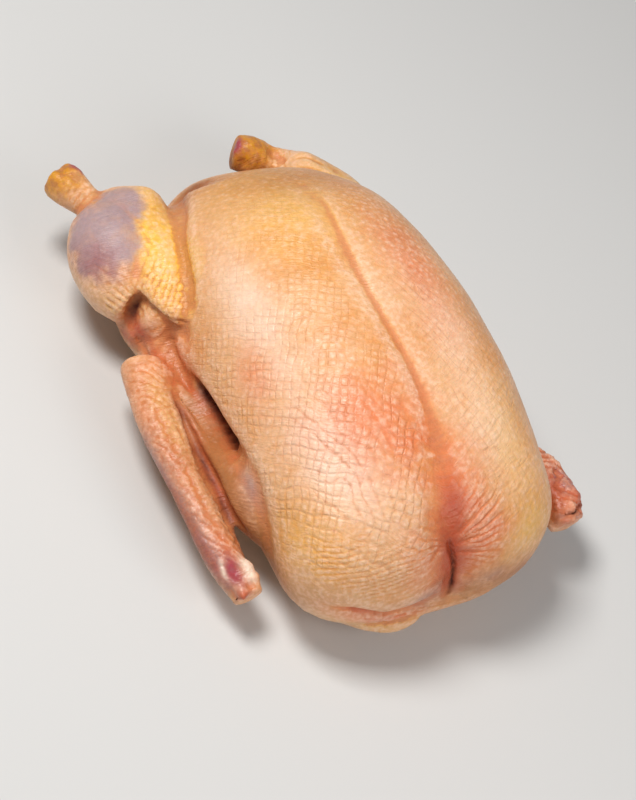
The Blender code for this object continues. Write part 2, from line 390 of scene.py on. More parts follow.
@dataclass
class Trunk:
    """The trunk, lofted from the neck to the tail, a little squarer than an ellipse."""

    length: float = 0.3432
    width: float = 0.1981
    depth: float = 0.1544
    neck_end_y: float = -0.1497
    keel_lean: float = 0.0042
    squareness: float = 0.90
    rings: int = 96
    points: int = 80
    stations: list[Station] = field(
        default_factory=lambda: [
            Station(0.000, 0.42, 0.240, 0.33, 0.43),
            Station(0.034, 0.75, 0.110, 0.37, 0.63),
            Station(0.093, 0.94, 0.030, 0.41, 0.78),
            Station(0.185, 0.98, -0.010, 0.44, 0.89),
            Station(0.317, 1.00, -0.030, 0.46, 0.97),
            Station(0.450, 0.985, -0.035, 0.46, 1.00),
            Station(0.582, 0.95, -0.035, 0.46, 0.985),
            Station(0.714, 0.885, -0.030, 0.45, 0.92),
            Station(0.820, 0.80, -0.005, 0.42, 0.80),
            Station(0.900, 0.67, 0.040, 0.38, 0.66),
            Station(0.952, 0.50, 0.100, 0.34, 0.52),
            Station(1.000, 0.24, 0.200, 0.30, 0.36),
        ]
    )

    def ring(self, share: float) -> list[Vector]:
        """One cross-section.

        Args:
            share: How far from the neck to the tail, from 0 to 1.

        Returns:
            Its points.
        """
        width, back, widest, keel, along = (
            smooth_between([getattr(station, part) for station in self.stations], share)
            for part in ("width", "back", "widest", "keel", "along")
        )
        y = self.neck_end_y + along * self.length
        ring = []
        for k in range(self.points):
            angle = math.tau * k / self.points
            c, s = math.cos(angle), math.sin(angle)
            rise = keel - widest if s > 0 else widest - back
            z = self.depth * (widest + rise * math.copysign(abs(s) ** self.squareness, s))
            lean = self.keel_lean * z / self.depth
            x = width * self.width / 2 * math.copysign(abs(c) ** self.squareness, c) + lean
            ring.append(Vector((x, y, z)))
        return ring

    def lofts(self) -> dict[str, Rings]:
        """The trunk's rings, by name."""
        return {"trunk": [self.ring(n / self.rings) for n in range(self.rings + 1)]}


@dataclass
class Leg:
    """A leg: the hock and drumstick, the thigh, the web of skin over it and the flank under it."""

    side: Side
    knee: Point
    ankle: Point
    hock_end: Point
    plumpness: float
    web: list[Joint]
    drumstick_radius: float = 0.0312
    shank_radius: float = 0.0135
    flatness: float = 0.96

    def drumstick(self) -> Limb:
        """The leg from the cut end of the hock to the knee.

        Returns:
            The limb.
        """
        knee, ankle, hock_end = Vector(self.knee), Vector(self.ankle), Vector(self.hock_end)
        plump = self.plumpness * self.drumstick_radius
        profile = [
            (hock_end, 0.00, ankle, 0.94 * self.shank_radius),
            (hock_end, 0.35, ankle, 1.02 * self.shank_radius),
            (hock_end, 0.90, ankle, 0.80 * self.shank_radius),
            (ankle, 0.12, knee, 0.72 * plump),
            (ankle, 0.42, knee, 1.03 * plump),
            (ankle, 0.75, knee, 0.97 * plump),
            (ankle, 1.00, knee, 0.60 * plump),
        ]
        return Limb(
            [
                Joint(*start.lerp(end, share), radius, self.flatness * radius)
                for start, share, end, radius in profile
            ]
        )

    def thigh(self) -> Limb:
        """The thigh, against the trunk.

        Returns:
            The limb.
        """
        s = self.side.value
        return Limb(
            [
                Joint(s * 0.093, 0.078, 0.041, 0.0186, 0.0223),
                Joint(s * 0.082, 0.098, 0.041, 0.0316, 0.0335),
                Joint(s * 0.065, 0.130, 0.043, 0.0353, 0.0335),
                Joint(s * 0.051, 0.163, 0.045, 0.0223, 0.0223),
            ]
        )

    def flank(self) -> Limb:
        """The skin that runs from the thigh under the wing.

        Returns:
            The limb.
        """
        s = self.side.value
        return Limb(
            [
                Joint(s * 0.086, 0.098, 0.035, 0.0167, 0.0186),
                Joint(s * 0.091, 0.065, 0.033, 0.0149, 0.0167),
                Joint(s * 0.086, 0.033, 0.034, 0.0121, 0.0130),
                Joint(s * 0.072, 0.000, 0.039, 0.0074, 0.0074),
            ]
        )

    def lofts(self) -> dict[str, Rings]:
        """The leg's lofted parts.

        Returns:
            Their rings, by name.
        """
        parts = {
            "drumstick": self.drumstick(),
            "thigh": self.thigh(),
            "web": Limb(self.web),
            "flank": self.flank(),
        }
        return side_lofts(self.side, parts)


@dataclass
class Wing:
    """A wing folded against the trunk, cut off at the wrist."""

    side: Side
    upper_arm: list[Joint]
    forearm: list[Joint]

    def lofts(self) -> dict[str, Rings]:
        """The wing's rings, by name."""
        parts = {"upper_arm": Limb(self.upper_arm), "forearm": Limb(self.forearm)}
        return side_lofts(self.side, parts)


@dataclass
class Ends:
    """The tail, and the neck skin tucked under the breast."""

    tail: list[Joint]
    neck_flap: list[Joint]

    def lofts(self) -> dict[str, Rings]:
        """The two ends' rings, by name."""
        return {"tail": Limb(self.tail).loft(), "neck_flap": Limb(self.neck_flap).loft()}


# ---------------------------------------------------------------- folds, wrinkles and masks


@dataclass
class Fold:
    """A line pressed into the skin, with soft shoulders of a width; a negative depth raises it."""

    width: float
    depth: float
    path: list[Point]
    steps: int = 32
    ends: float = 0.04
    fade: float = 0.5
    reach: float = 3.2

    def points(self) -> np.ndarray:
        """Closely spaced points along the fold."""
        shares = [n / self.steps for n in range(self.steps + 1)]
        return np.array([[smooth_between(axis, share) for axis in zip(*self.path)] for share in shares])

    def strength(self, places: np.ndarray) -> np.ndarray:
        """How strongly the fold works at each place.

        Args:
            places: The places, one a row.

        Returns:
            From 0 to 1 for each.
        """
        path = self.points()
        margin = self.reach * self.width
        near = np.all((places > path.min(0) - margin) & (places < path.max(0) + margin), axis=1)
        close = places[near]
        best = np.full(len(close), np.inf)
        share = np.zeros(len(close))
        for n, (start, end) in enumerate(zip(path, path[1:])):
            step = end - start
            t = np.clip((close - start) @ step / (step @ step), 0, 1)
            gap = np.linalg.norm(close - start - t[:, None] * step, axis=1)
            share = np.where(gap < best, (n + t) / self.steps, share)
            best = np.minimum(gap, best)
        fade = np.sin(np.pi * np.clip(share, self.ends, 1 - self.ends)) ** self.fade
        strength = np.zeros(len(places))
        strength[near] = fade * np.exp(-((best / self.width) ** 2))
        return strength

    def push(self, places: np.ndarray, normals: np.ndarray) -> np.ndarray:
        """The places moved inwards along their normals.

        Args:
            places: The skin's points.
            normals: Their normals.

        Returns:
            The moved points.
        """
        return places - normals * (self.depth * self.strength(places))[:, None]


@dataclass
class Wrinkles:
    """A field of wavy parallel wrinkles, or of spokes from a hub, fading out from its centre."""

    centre: Point
    reach: Point
    across: Point
    spacing: float
    depth: float
    hub: Point | None = None
    waver: float = 0.7
    lumps: float = 60.0
    faintest: float = 0.03
    break_scale: float = 0.7
    break_shift: Point = (7.0, 3.0, 1.0)
    crest: float = 0.15
    evenness: float = 0.75
    shallowest: float = 0.15
    deepest: float = 1.3

    def push(self, places: np.ndarray, normals: np.ndarray) -> np.ndarray:
        """The places moved along their normals into wrinkles.

        Args:
            places: The skin's points.
            normals: Their normals.

        Returns:
            The moved points.
        """
        offset = places - np.array(self.centre)
        fade = np.exp(-((offset / np.array(self.reach)) ** 2).sum(1))
        near = fade > self.faintest
        direction = np.array(self.across) / np.linalg.norm(self.across)
        lumpy = [Vector(place) * self.lumps for place in places[near]]
        waver = np.array([noise.noise(place) for place in lumpy])
        shift = Vector(self.break_shift)
        broken = np.array([noise.noise(place * self.break_scale + shift) for place in lumpy])
        run = offset[near] @ direction
        if self.hub is not None:
            spoke = places[near] - np.array(self.hub)
            side = np.cross(normals[near].mean(0), direction)
            distance = np.linalg.norm(np.array(self.centre) - np.array(self.hub))
            run = np.arctan2(spoke @ side, spoke @ direction) * distance
        wave = np.sin(math.tau * (run / self.spacing + self.waver * waver))
        crease = -np.clip(wave, -self.crest, 1.0) ** 2
        crease *= np.clip(self.evenness + broken, self.shallowest, self.deepest)
        moved = places.copy()
        moved[near] += normals[near] * (self.depth * fade[near] * crease)[:, None]
        return moved


@dataclass
class Lump:
    """A rounded rise of the skin, or a dent where its height is negative."""

    centre: Point
    reach: float
    height: float
    along: Point | None = None

    def push(self, places: np.ndarray, normals: np.ndarray) -> np.ndarray:
        """The places moved out along their normals, or all in one direction.

        Args:
            places: The skin's points.
            normals: Their normals.

        Returns:
            The moved points.
        """
        far = ((places - np.array(self.centre)) ** 2).sum(1) / self.reach**2
        direction = normals if self.along is None else np.array(self.along)
        return places + direction * (self.height * np.exp(-far))[:, None]


def blot(
    places: np.ndarray, centre: Point, reach: Point, hardness: float, ragged: float | np.ndarray = 1.0
) -> np.ndarray:
    """How far inside a soft-edged blot each place is.

    Args:
        places: The places, one a row.
        centre: The blot's centre.
        reach: How far it reaches along each axis.
        hardness: How steep its edge is.
        ragged: How much each place's distance is stretched, for an uneven edge.

    Returns:
        From 0 to 1 for each.
    """
    far = (((places - np.array(centre)) / np.array(reach)) ** 2).sum(1) * ragged
    return np.exp(-(far**hardness))


@dataclass
class Patch:
    """A soft-edged blot painted into one of the masks."""

    mask: Mask
    centre: Point
    reach: Point
    strength: float = 1.0
    hardness: float = 1.0

    def add(self, places: np.ndarray, ragged: np.ndarray) -> np.ndarray:
        """The blot's strength at each place, with an edge made uneven by ragged."""
        return self.strength * blot(places, self.centre, self.reach, self.hardness, ragged)


@dataclass
class Stroke:
    """A soft-edged line painted into one of the masks, along a path."""

    mask: Mask
    width: float
    path: list[Point]
    strength: float = 1.0
    fade: float = 0.35

    def add(self, places: np.ndarray, ragged: np.ndarray) -> np.ndarray:
        """The line's strength at each place, with an edge made uneven by ragged."""
        return self.strength * Fold(self.width, 0.0, self.path, fade=self.fade).strength(places) ** ragged


FOLDS: list[Fold] = [
    # the keel between the two breast muscles, and the muscles beside it
    Fold(0.0074, 0.0037, [
        (0.005, 0.126, 0.129), (-0.006, 0.057, 0.151), (-0.006, 0.000, 0.153), (-0.002, -0.051, 0.148),
        (-0.002, -0.093, 0.134),
    ]),
    Fold(0.0279, -0.0028, [(-0.042, 0.056, 0.135), (-0.042, -0.037, 0.132), (-0.039, -0.088, 0.112)]),
    Fold(0.0279, -0.0028, [(0.042, 0.065, 0.135), (0.042, -0.028, 0.132), (0.042, -0.088, 0.112)]),
    # the cleft where the keel ends at the neck, and the slit at its foot
    Fold(0.0158, 0.0074, [
        (-0.002, -0.089, 0.137), (-0.006, -0.117, 0.120), (-0.004, -0.136, 0.100), (0.004, -0.148, 0.072),
        (0.009, -0.150, 0.050),
    ]),
    Fold(0.0033, 0.0056, [
        (-0.004, -0.132, 0.100), (0.001, -0.140, 0.086), (0.004, -0.145, 0.072), (0.007, -0.147, 0.054),
    ]),
    # the neck skin tucked under the breast
    Fold(0.0047, 0.0051, [
        (-0.074, -0.132, 0.056), (-0.061, -0.140, 0.054), (-0.043, -0.145, 0.051),
        (-0.019, -0.149, 0.050), (-0.004, -0.149, 0.054),
    ]),
    Fold(0.0037, 0.0023, [(-0.056, -0.132, 0.035), (-0.028, -0.145, 0.035), (-0.007, -0.149, 0.041)]),
    # the left leg: crease against the trunk, the wrinkled edge of its web, and the hole under it
    Fold(0.0056, 0.0065, [
        (-0.052, 0.169, 0.074), (-0.062, 0.147, 0.088), (-0.074, 0.117, 0.092), (-0.082, 0.093, 0.091),
        (-0.086, 0.078, 0.087),
    ]),
    Fold(0.0056, -0.0033, [
        (-0.107, 0.104, 0.074), (-0.100, 0.094, 0.074), (-0.095, 0.084, 0.076), (-0.090, 0.077, 0.080),
    ]),
    Fold(0.0065, 0.0065, [
        (-0.108, 0.097, 0.065), (-0.101, 0.087, 0.061), (-0.095, 0.077, 0.061), (-0.090, 0.065, 0.069),
    ]),
    Fold(0.0047, 0.0084, [(-0.109, 0.096, 0.050), (-0.108, 0.098, 0.059), (-0.106, 0.101, 0.067)]),
    Fold(0.0093, 0.0019, [(-0.107, 0.108, 0.074), (-0.100, 0.119, 0.084), (-0.091, 0.136, 0.087)]),
    Fold(0.0056, 0.0047, [(-0.056, 0.169, 0.071), (-0.043, 0.174, 0.072), (-0.032, 0.165, 0.087)]),
    # the left wing: hollow behind the upper arm, groove between the two arm bones, crease at the shoulder
    Fold(0.0084, 0.0158, [
        (-0.099, 0.041, 0.054), (-0.096, 0.019, 0.058), (-0.095, 0.000, 0.061), (-0.095, -0.017, 0.065),
        (-0.096, -0.028, 0.070),
    ]),
    Fold(0.0037, 0.0074, [
        (-0.103, 0.028, 0.052), (-0.105, 0.000, 0.051), (-0.106, -0.021, 0.050), (-0.105, -0.039, 0.049),
        (-0.104, -0.058, 0.046), (-0.100, -0.084, 0.042),
    ]),
    Fold(0.0074, 0.0028, [
        (-0.097, -0.027, 0.074), (-0.095, -0.051, 0.078), (-0.095, -0.074, 0.065),
        (-0.091, -0.093, 0.046),
    ]),
    # the right leg and wing, tucked closer to the trunk
    Fold(0.0056, 0.0056, [
        (0.058, 0.169, 0.074), (0.069, 0.147, 0.086), (0.080, 0.117, 0.087), (0.086, 0.087, 0.084),
    ]),
    Fold(0.0084, 0.013, [
        (0.100, 0.034, 0.054), (0.098, 0.009, 0.058), (0.097, -0.011, 0.061), (0.097, -0.032, 0.067),
    ]),
    Fold(0.0037, 0.0056, [
        (0.104, 0.015, 0.054), (0.104, -0.019, 0.054), (0.108, -0.046, 0.056), (0.112, -0.071, 0.058),
        (0.113, -0.093, 0.056), (0.112, -0.116, 0.046),
    ]),
    Fold(0.0033, 0.0037, [(0.119, -0.115, 0.056), (0.130, -0.115, 0.056), (0.141, -0.110, 0.048)]),
    # the closed vent under the tail
    Fold(0.0047, 0.0047, [(-0.015, 0.191, 0.052), (0.000, 0.193, 0.054), (0.015, 0.191, 0.052)]),
]

FINE_FOLDS: list[Fold] = [
    # the keel's groove made wider and shallower, with a wandering crease in it
    Fold(0.0085, -0.0023, [
        (0.003, 0.118, 0.133), (-0.005, 0.062, 0.150), (-0.006, 0.010, 0.152), (-0.004, -0.040, 0.149),
        (-0.003, -0.074, 0.141),
    ]),
    Fold(0.0028, 0.0008, [
        (0.006, 0.108, 0.137), (-0.003, 0.062, 0.150), (-0.007, 0.014, 0.152), (-0.003, -0.036, 0.149),
        (-0.003, -0.072, 0.141),
    ]),
    # the shallow crease between the web and the trunk
    Fold(0.0085, -0.0036, [
        (-0.060, 0.150, 0.084), (-0.067, 0.130, 0.089), (-0.074, 0.110, 0.091), (-0.081, 0.088, 0.088),
    ]),
    # the left wing: the slot against the trunk, the upper arm's ridge, the gap before the forearm
    Fold(0.003, 0.0075, [
        (-0.091, 0.038, 0.057), (-0.087, 0.028, 0.057), (-0.083, 0.015, 0.055), (-0.082, 0.004, 0.055),
        (-0.083, -0.006, 0.056), (-0.085, -0.015, 0.058), (-0.090, -0.025, 0.062),
    ]),
    Fold(0.0062, -0.0062, [
        (-0.097, 0.040, 0.049), (-0.094, 0.022, 0.050), (-0.093, 0.002, 0.050), (-0.095, -0.014, 0.054),
        (-0.099, -0.030, 0.062),
    ]),
    Fold(0.0024, 0.0034, [
        (-0.104, 0.036, 0.050), (-0.1035, 0.024, 0.048), (-0.1045, 0.004, 0.047), (-0.105, -0.014, 0.046),
    ]),
    # the flank's loose skin under the web, drawn over the thigh
    Fold(0.009, -0.003, [
        (-0.100, 0.088, 0.052), (-0.096, 0.078, 0.054), (-0.091, 0.066, 0.060), (-0.091, 0.052, 0.064),
    ]),
    Fold(0.0022, 0.0022, [(-0.108, 0.092, 0.046), (-0.106, 0.080, 0.040), (-0.103, 0.068, 0.040)]),
    # the web's lower edge, standing over the hole
    Fold(0.0024, 0.0034, [
        (-0.1085, 0.097, 0.063), (-0.102, 0.088, 0.066), (-0.096, 0.080, 0.069), (-0.089, 0.070, 0.075),
    ]),
    Fold(0.003, 0.006, [(-0.110, 0.094, 0.046), (-0.1085, 0.098, 0.055), (-0.107, 0.100, 0.064)]),
    # the cleft's valley made softer, its slit, and creases beside it
    Fold(0.015, -0.0024, [
        (-0.002, -0.102, 0.126), (-0.003, -0.115, 0.115), (0.000, -0.128, 0.098), (0.006, -0.141, 0.070),
    ]),
    Fold(0.0014, 0.0045, [
        (-0.001, -0.131, 0.096), (0.001, -0.134, 0.091), (0.005, -0.138, 0.082), (0.008, -0.142, 0.070),
        (0.009, -0.146, 0.055),
    ]),
    Fold(0.0018, 0.0012, [(0.004, -0.134, 0.096), (0.018, -0.132, 0.100), (0.030, -0.128, 0.104)]),
    Fold(0.0018, 0.0012, [(0.003, -0.137, 0.090), (0.018, -0.138, 0.090), (0.032, -0.137, 0.090)]),
    Fold(0.0018, 0.001, [(0.004, -0.130, 0.103), (0.014, -0.124, 0.111), (0.022, -0.117, 0.118)]),
    Fold(0.0018, 0.001, [(-0.006, -0.134, 0.096), (-0.016, -0.136, 0.088), (-0.026, -0.140, 0.078)]),
    # the neck skin: its upper edge, its inner creases and its small hole
    Fold(0.0018, 0.0034, [
        (-0.070, -0.133, 0.056), (-0.055, -0.142, 0.053), (-0.040, -0.1465, 0.051),
        (-0.020, -0.150, 0.050), (-0.006, -0.151, 0.052),
    ]),
    Fold(0.0016, 0.0016, [(-0.060, -0.139, 0.047), (-0.040, -0.146, 0.043), (-0.022, -0.149, 0.042)]),
    Fold(0.002, 0.0045, [(-0.022, -0.150, 0.043), (-0.014, -0.151, 0.044), (-0.007, -0.150, 0.047)]),
    # the tail's fold beside the left leg, and the notch beside the right hock
    Fold(0.003, 0.0034, [(-0.060, 0.168, 0.074), (-0.046, 0.170, 0.078), (-0.036, 0.163, 0.090)]),
    Fold(0.005, 0.005, [(0.044, 0.206, 0.058), (0.043, 0.200, 0.064), (0.042, 0.190, 0.068)]),
    Fold(0.0026, 0.0026, [(0.048, 0.178, 0.074), (0.056, 0.174, 0.078), (0.066, 0.168, 0.080)]),
    Fold(0.002, 0.0018, [(0.050, 0.187, 0.069), (0.058, 0.184, 0.073), (0.066, 0.178, 0.074)]),
    # the slit in the right wing's stump
    Fold(0.0018, 0.0034, [
        (0.117, -0.112, 0.052), (0.124, -0.1135, 0.054), (0.131, -0.111, 0.055), (0.138, -0.107, 0.052),
    ]),
    # lengthwise sinews on the forearm
    Fold(0.0022, 0.001, [
        (-0.122, 0.044, 0.050), (-0.121, 0.000, 0.050), (-0.118, -0.050, 0.047), (-0.114, -0.090, 0.043),
    ]),
    Fold(0.0022, 0.0009, [
        (-0.114, 0.036, 0.053), (-0.113, -0.004, 0.052), (-0.111, -0.050, 0.048), (-0.108, -0.088, 0.043),
    ]),
]

WRINKLES: list[Wrinkles] = [
    # short spokes on the breast to the right of the cleft, and softer ones to its left
    Wrinkles(
        (0.021, -0.127, 0.106), (0.015, 0.020, 0.022), (1.0, 0.0, 0.2), 0.0046, 0.0009,
        hub=(-0.008, -0.140, 0.094), waver=0.85,
    ),
    Wrinkles(
        (-0.016, -0.131, 0.098), (0.012, 0.014, 0.018), (-1.0, 0.0, 0.2), 0.0048, 0.0005,
        hub=(0.012, -0.140, 0.092), waver=0.6,
    ),
    # level wrinkles low on the left breast
    Wrinkles(
        (-0.066, -0.128, 0.086), (0.046, 0.026, 0.024), (0.25, -0.45, -0.86), 0.0036, 0.0005, waver=0.8,
    ),
    # fine lengthwise wrinkles over the breast
    Wrinkles(
        (-0.060, -0.080, 0.122), (0.040, 0.060, 0.030), (0.9, 0.35, -0.3), 0.0052, 0.0003, waver=1.1,
    ),
    # the neck skin
    Wrinkles((-0.035, -0.146, 0.042), (0.034, 0.018, 0.012), (0.1, 0.0, 1.0), 0.0042, 0.001, waver=0.7),
    Wrinkles((-0.035, -0.144, 0.036), (0.030, 0.018, 0.014), (1.0, 0.0, 0.3), 0.007, 0.0008, waver=1.0),
    # the coarse edge of the left web
    Wrinkles((-0.094, 0.092, 0.080), (0.016, 0.020, 0.012), (0.8, -0.6, 0.1), 0.0042, 0.0009, waver=0.9),
    # the elbow and the length of the forearm
    Wrinkles((-0.118, 0.050, 0.050), (0.016, 0.026, 0.018), (0.5, 1.0, 0.0), 0.0052, 0.0006, waver=1.2),
    Wrinkles((-0.120, -0.010, 0.050), (0.014, 0.050, 0.014), (1.0, 0.5, 0.2), 0.0055, 0.0006, waver=1.1),
    Wrinkles((-0.116, -0.078, 0.044), (0.014, 0.026, 0.014), (1.0, 0.7, 0.2), 0.0045, 0.0009, waver=1.1),
    # the outer drumstick and the knee
    Wrinkles((-0.126, 0.122, 0.066), (0.014, 0.022, 0.016), (0.2, 0.8, 0.9), 0.0052, 0.0005, waver=1.8),
    Wrinkles((-0.116, 0.104, 0.060), (0.014, 0.012, 0.014), (0.5, 0.2, 1.0), 0.0046, 0.001, waver=0.8),
    # the flank's skin between the web and the wing
    Wrinkles((-0.098, 0.066, 0.052), (0.014, 0.022, 0.016), (-0.7, 0.5, 0.6), 0.006, 0.0006, waver=0.8),
    # the right wing's forearm and stump, and the right web
    Wrinkles((0.128, -0.095, 0.052), (0.018, 0.034, 0.018), (0.6, 1.0, 0.3), 0.007, 0.0014, waver=1.2),
    Wrinkles((0.115, -0.005, 0.050), (0.014, 0.050, 0.014), (-1.0, 0.5, 0.2), 0.0055, 0.0006, waver=1.1),
    Wrinkles((0.083, 0.094, 0.078), (0.016, 0.020, 0.012), (-0.8, -0.6, 0.1), 0.0042, 0.0009, waver=0.9),
    # the shanks under the hocks
    Wrinkles((-0.110, 0.182, 0.066), (0.014, 0.012, 0.014), (-0.5, 1.0, 0.0), 0.004, 0.0006, waver=0.8),
    Wrinkles((0.040, 0.196, 0.062), (0.016, 0.010, 0.014), (-1.0, 0.4, 0.0), 0.0044, 0.0008, waver=0.8),
]


LUMPS: list[Lump] = [
    # the loose skin under the left web, close up to its edge
    Lump((-0.0985, 0.087, 0.060), 0.01, 0.0065, along=(-0.45, -0.30, 0.84)),
    Lump((-0.100, 0.093, 0.060), 0.0075, 0.005, along=(-0.45, -0.30, 0.84)),
    # the foot of the slot beside the left upper arm
    Lump((-0.087, -0.021, 0.060), 0.0075, 0.0045),
    # the front of the loose skin, towards the wing
    Lump((-0.092, 0.074, 0.064), 0.009, 0.005, along=(-0.45, -0.30, 0.84)),
    # the wrist's knob, its meat and the bone's end
    Lump((-0.105, -0.090, 0.043), 0.0042, 0.003),
    Lump((-0.1045, -0.098, 0.042), 0.0042, 0.0034),
    Lump((-0.116, -0.093, 0.043), 0.0055, -0.0034),
    Lump((-0.1175, -0.1095, 0.0395), 0.0036, 0.003),
    Lump((-0.1095, -0.1045, 0.042), 0.004, -0.0036),
    Lump((-0.125, -0.101, 0.035), 0.0075, -0.0036),
    Lump((-0.123, -0.108, 0.034), 0.006, -0.003),
    # the right wing's stump
    Lump((0.131, -0.074, 0.058), 0.0065, 0.0034),
    Lump((0.135, -0.098, 0.057), 0.008, 0.003),
    Lump((0.130, -0.084, 0.058), 0.004, -0.0036),
    Lump((0.124, -0.093, 0.057), 0.004, -0.002),
    Lump((0.125, -0.108, 0.056), 0.004, 0.0026),
    Lump((0.124, -0.115, 0.050), 0.006, 0.003),
    # the knuckles of the hocks
    Lump((-0.125, 0.202, 0.068), 0.0065, 0.0026),
    Lump((-0.112, 0.203, 0.070), 0.006, 0.0022),
    Lump((-0.1185, 0.206, 0.069), 0.004, -0.002),
    Lump((0.015, 0.207, 0.060), 0.006, 0.0024),
    Lump((0.026, 0.209, 0.064), 0.0065, 0.0016),
    Lump((0.021, 0.201, 0.056), 0.0045, -0.0022),
    # the skin bunched beside the right hock, and the drumstick's slope past it
    Lump((0.057, 0.187, 0.072), 0.008, 0.0026),
    Lump((0.074, 0.172, 0.076), 0.011, -0.003),
    # the top of the left web, drawn level to the tail
    Lump((-0.074, 0.170, 0.078), 0.013, 0.005),
]
